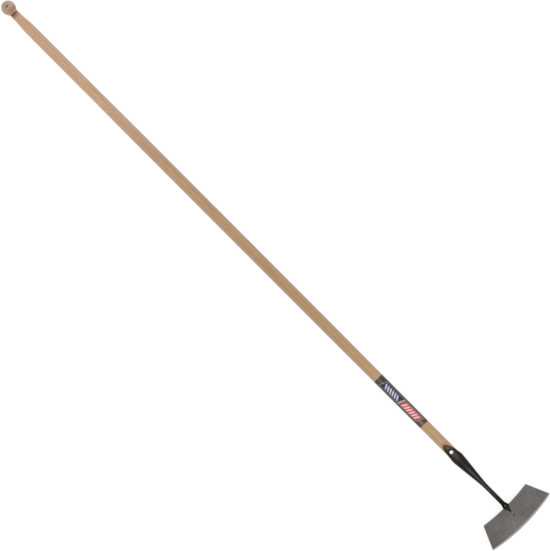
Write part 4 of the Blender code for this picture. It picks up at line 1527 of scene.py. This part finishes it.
def steel_finish():
    """Dull hardened sheet steel with a ground bevel."""
    f = Finish("hardened_steel")
    lines_uv = f.tree.nodes.new("ShaderNodeUVMap")
    lines_uv.uv_map = "lines"
    flat = f.vector('SCALE', lines_uv.outputs[0], scale=1000.0)
    around, inward, _ = f.split(flat)
    cloud = f.noise(f.mm, (1 / 26, 1 / 26, 1 / 26), 3.0, 0.5, shift=2.0)
    mottle = f.noise(f.mm, (1 / 6, 1 / 6, 1 / 6), 4.0, 0.62, shift=7.0)
    rolled = f.noise(flat, (0.03, 2.2, 1.0), 3.0, 0.65, shift=5.0)
    specks = f.noise(f.mm, (0.9, 0.9, 0.9), 2.0, 0.5, shift=15.0)
    tone = f.mix(f.range(cloud, 0.32, 0.68), (0.205, 0.189, 0.182),
                 (0.272, 0.253, 0.241))
    # a painted glow of light in front of the leaf, darker round the leaf's tip
    # and towards one end, and painted shade along the rear edge beside the leaf
    lit = near(f, blade_point(62.0, -18.0, 0.0), 6.0, 40.0)
    tone = f.mix(f.math('MULTIPLY', lit, 0.62), tone, (0.345, 0.325, 0.310))
    darkened = near(f, blade_point(33.0, 4.0, 0.0), 6.0, 24.0, (1.0, 0.85, 1.0))
    tone = f.mix(f.math('MULTIPLY', darkened, 0.34), tone,
                 (0.150, 0.136, 0.130))
    darkened = near(f, blade_point(1.0, -17.0, 0.0), 3.0, 13.0, (1.0, 0.5, 1.0))
    tone = f.mix(f.math('MULTIPLY', darkened, 0.50), tone,
                 (0.110, 0.097, 0.092))
    darkened = f.range(f.split(f.mm)[1], -54.0, -76.0, 0.0, 0.55, smooth=True)
    tone = f.mix(darkened, tone, (0.155, 0.142, 0.136))
    tone = f.mix(f.range(mottle, 0.38, 0.66, 0.0, 0.54), tone,
                 (0.152, 0.137, 0.129))
    tone = f.mix(f.range(rolled, 0.35, 0.68, 0.0, 0.26), tone,
                 (0.320, 0.310, 0.300))
    tone = f.mix(f.range(specks, 0.66, 0.74, 0.0, 0.55), tone,
                 (0.085, 0.068, 0.058))
    # on the upper face the dimple gets painted shade inside and a painted
    # highlight ring round it
    bottom = blade_point(DIMPLE[0], DIMPLE[1], 0.0)
    level = blade_zero.dot(upward)
    above = f.range(f.vector('DOT_PRODUCT', f.mm, tuple(upward)),
                    level - 1.6, level - 1.1)
    halo = f.math('MULTIPLY', near(f, bottom, 6.0, 10.0, (1.0, 0.8, 1.0)),
                  f.range(f.vector('DISTANCE', f.mm, tuple(bottom)), 3.6,
                          6.2))
    halo = f.math('MULTIPLY', halo, above)
    tone = f.mix(f.math('MULTIPLY', halo, 0.22), tone, (0.40, 0.38, 0.37))
    dimple_shade = f.math('MULTIPLY', near(f, bottom, 1.4, 5.6, (1.0, 0.72, 1.0)),
                 above)
    tone = f.mix(f.math('MULTIPLY', dimple_shade, 0.50), tone,
                 (0.090, 0.071, 0.067))
    # scratches run from the edge backwards
    scratch = f.noise(flat, (1.5, 0.05, 1.0), 2.0, 0.5, shift=31.0)
    fade = f.range(inward, 4.0, 60.0, 0.5, 0.1)
    scratch = f.math('MULTIPLY', f.range(scratch, 0.68, 0.74), fade)
    tone = f.mix(scratch, tone, (0.36, 0.355, 0.35))
    ground = f.layer("ground")
    grind = f.noise(flat, (3.2, 0.10, 1.0), 3.0, 0.65, shift=8.0)
    bright = f.mix(f.range(grind, 0.3, 0.7), (0.40, 0.395, 0.385),
                   (0.56, 0.555, 0.545))
    tone = f.mix(ground, tone, bright)
    rim = f.layer("rim")
    tone = f.mix(f.math('MULTIPLY', rim, f.range(mottle, 0.35, 0.65, 0.15,
                                                 0.5)), tone,
                 (0.33, 0.325, 0.32))
    rough_ = f.range(mottle, 0.3, 0.7, 0.40, 0.50)
    rough_ = f.mix(ground, rough_, f.range(grind, 0.3, 0.7, 0.30, 0.40))
    relief = f.mix(ground, f.math('MULTIPLY', rolled, 0.35), grind)
    return f.set(Base_Color=tone, Metallic=0.85, Roughness=rough_,
                 Normal=f.bump(relief, 0.00003, 0.7))


def zinc_finish():
    """Bright zinc plating with faint crystals and a few dull dents."""
    f = Finish("zinc_plate")
    cells = f.tree.nodes.new("ShaderNodeTexVoronoi")
    cells.inputs["Scale"].default_value = 1.1
    f.put(cells.inputs["Vector"], f.mm)
    crystal = f.range(f.math('FRACT', f.math('MULTIPLY', f.split(
        cells.outputs["Color"])[0], 3.0)), 0.0, 1.0)
    fine = f.noise(f.mm, (1.6, 1.6, 1.6), 3.0, 0.6)
    tone = f.mix(crystal, (0.80, 0.795, 0.78), (0.90, 0.895, 0.88))
    tone = f.mix(f.range(fine, 0.55, 0.8, 0.0, 0.3), tone,
                 (0.66, 0.65, 0.63))
    return f.set(Base_Color=tone, Metallic=0.9,
                 Roughness=f.range(fine, 0.3, 0.7, 0.24, 0.36),
                 Normal=f.bump(fine, 0.00003, 0.5))


def film_finish():
    """Charcoal printed film with a navy field and a red field over its top,
    cut on the slant, each with a row of six pale slanted bars; its sides and
    back are plain."""
    f = Finish("printed_film")
    x, y, z = f.split(f.mm)
    turn = f.math('MULTIPLY', f.math('ARCTAN2', y, z), 13.4)
    sheen = f.noise(f.mm, (0.025, 0.5, 0.5), 3.0, 0.55, shift=3.0)
    grain = f.noise(f.mm, (1.3, 1.3, 1.3), 2.0, 0.5)
    tone = f.mix(f.range(sheen, 0.3, 0.7), (0.043, 0.035, 0.030),
                 (0.080, 0.066, 0.056))
    # painted highlight beside the top, strongest at the end nearer the blade,
    # which has also browned
    worn_end = f.range(x, 1424.0, 1430.0)
    tone = f.mix(f.math('MULTIPLY', worn_end, 0.5), tone,
                 (0.135, 0.066, 0.060))
    # the painted highlight band, set to one side of the top
    rubbed = f.math('MULTIPLY', f.range(worn_end, 0.0, 1.0, 0.36, 0.56),
                    f.range(f.math('ABSOLUTE', f.math('ADD', y, 3.0)), 0.6,
                            5.2, 1.0, 0.0, smooth=True))
    tone = f.mix(rubbed, tone, f.mix(worn_end, (0.200, 0.150, 0.130),
                                     (0.290, 0.215, 0.205)))

    face = f.range(f.math('ABSOLUTE', turn), 10.0, 10.3, 1.0, 0.0)
    cut = f.math('MULTIPLY_ADD', turn, -0.42, x)

    def band(low, high, soft=0.15):
        return f.math('MULTIPLY', face, f.math(
            'MULTIPLY', f.range(cut, low - soft, low + soft),
            f.range(cut, high - soft, high + soft, 1.0, 0.0)))

    row = f.range(f.math('ABSOLUTE', f.math('ADD', turn, 0.8)), 6.3, 6.6,
                  1.0, 0.0)

    def bars(lean, first, pitch):
        slant = f.math('MULTIPLY_ADD', turn, lean, x)
        step = f.math('DIVIDE', f.math('SUBTRACT', slant, first - pitch / 2),
                      pitch)
        line = f.range(f.math('ABSOLUTE', f.math(
            'SUBTRACT', f.math('FRACT', step), 0.5)), 0.26, 0.29, 1.0, 0.0)
        span = f.math('MULTIPLY', f.range(step, 0.0, 0.02),
                      f.range(step, 5.98, 6.0, 1.0, 0.0))
        return f.math('MULTIPLY', f.math('MULTIPLY', line, row), span)

    navy = band(1305.0, 1362.0)
    tone = f.mix(navy, tone, (0.023, 0.025, 0.088))
    tone = f.mix(f.math('MULTIPLY', bars(0.5, 1314.0, 7.7), 0.9), tone,
                 (0.69, 0.68, 0.80))
    red = band(1371.0, 1427.0)
    tone = f.mix(red, tone, (0.55, 0.085, 0.078))
    tone = f.mix(f.math('MULTIPLY', bars(-0.6, 1378.0, 8.4), 0.9), tone,
                 (0.92, 0.65, 0.62))
    for at, half in ((1303.0, 0.5), (1366.5, 2.1), (1429.0, 0.5)):
        tone = f.mix(f.math('MULTIPLY', band(at - half, at + half), 0.85),
                     tone, (0.50, 0.50, 0.49))
    rule = f.math('MULTIPLY', band(1302.5, 1429.5),
                  f.range(f.math('ABSOLUTE', turn), 9.0, 9.2))
    tone = f.mix(f.math('MULTIPLY', rule, 0.70), tone, (0.42, 0.41, 0.41))
    tone = f.mix(f.math('MULTIPLY', f.layer("lap"), 0.5), tone,
                 (0.11, 0.11, 0.11))
    tone = f.mix(f.range(grain, 0.6, 0.8, 0.0, 0.12), tone,
                 (0.16, 0.16, 0.16))
    return f.set(Base_Color=tone, Roughness=f.range(sheen, 0.3, 0.7, 0.22,
                                                    0.34),
                 Specular_IOR_Level=0.3,
                 Normal=f.bump(f.noise(f.mm, (0.06, 0.35, 0.35), 2.0, 0.5,
                                       shift=9.0), 0.0004, 0.35))


pieces = [
    (handle, "handle", "ash_wood", ash_finish()),
    (sleeve, "label_sleeve", "label_film", film_finish()),
    (socket, "socket_neck", "black_paint", socket_finish()),
    (blade, "blade", "blade_steel", steel_finish()),
    (rivet, "blade_rivet", "black_paint", rivet_finish()),
    (nail, "socket_nail", "zinc", zinc_finish()),
]
for piece, node, slot_name, finish in pieces:
    settle(piece)
    piece.data.materials.clear()
    piece.data.materials.append(finish)
    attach(piece, "root")
    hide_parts(node)

# ------------------------------------------------------------ studio and view
floor_mesh = bpy.data.meshes.new("floor")
floor_mesh.from_pydata([(-30, -30, 0), (30, -30, 0), (30, 30, 0),
                        (-30, 30, 0)], [], [(0, 1, 2, 3)])
floor = bpy.data.objects.new("floor", floor_mesh)
bpy.context.scene.collection.objects.link(floor)
floor.location = (0.0, 0.0, -0.0003)
# A light table: white, and lit softly from beneath as well as from above.
paper = bpy.data.materials.new("paper")
paper.use_nodes = True
sheet = paper.node_tree.nodes["Principled BSDF"]
sheet.inputs["Base Color"].default_value = (0.36, 0.36, 0.36, 1.0)
sheet.inputs["Roughness"].default_value = 1.0
sheet.inputs["Specular IOR Level"].default_value = 0.0
sheet.inputs["Emission Color"].default_value = (1.0, 1.0, 1.0, 1.0)
sheet.inputs["Emission Strength"].default_value = 0.73
floor_mesh.materials.append(paper)

world = bpy.data.worlds.new("studio")
bpy.context.scene.world = world
world.use_nodes = True
room = world.node_tree.nodes["Background"]
room.inputs["Color"].default_value = (1.0, 1.0, 1.0, 1.0)
room.inputs["Strength"].default_value = 0.56


def softbox(name, size, power, location, target):
    data = bpy.data.lights.new(name, 'AREA')
    data.shape = 'RECTANGLE'
    data.size, data.size_y = size
    data.energy = power
    obj = bpy.data.objects.new(name, data)
    bpy.context.scene.collection.objects.link(obj)
    obj.location = location
    away = Vector(location) - Vector(target)
    obj.rotation_euler = away.to_track_quat('Z', 'Y').to_euler()
    obj.visible_camera = False
    return obj


softbox("overhead", (6.0, 4.2), 165.0, (0.0, 0.0, 6.0), (0.0, 0.0, 0.0))

camera_data = bpy.data.cameras.new("camera")
camera = bpy.data.objects.new("camera", camera_data)
bpy.context.scene.collection.objects.link(camera)
bpy.context.scene.camera = camera
DISTANCE = 50000.0
camera_data.sensor_width = 36.0
camera_data.lens = 36.0 * DISTANCE / 1335.0
camera_data.clip_start, camera_data.clip_end = 1.0, 100.0
ROLL = math.radians(45.067)
right = Vector((math.cos(ROLL), math.sin(ROLL), 0.0))
up = Vector((-math.sin(ROLL), math.cos(ROLL), 0.0))
back = Vector((0.0, 0.0, 1.0))
look = Matrix((right, up, back)).transposed().to_4x4()
place = Matrix.Translation((Vector((933.5, -0.95, 0.0)) + back * DISTANCE)
                           * MM)
camera.matrix_world = LAID @ place @ look

bpy.context.scene.view_settings.view_transform = 'Standard'

bpy.context.view_layer.update()
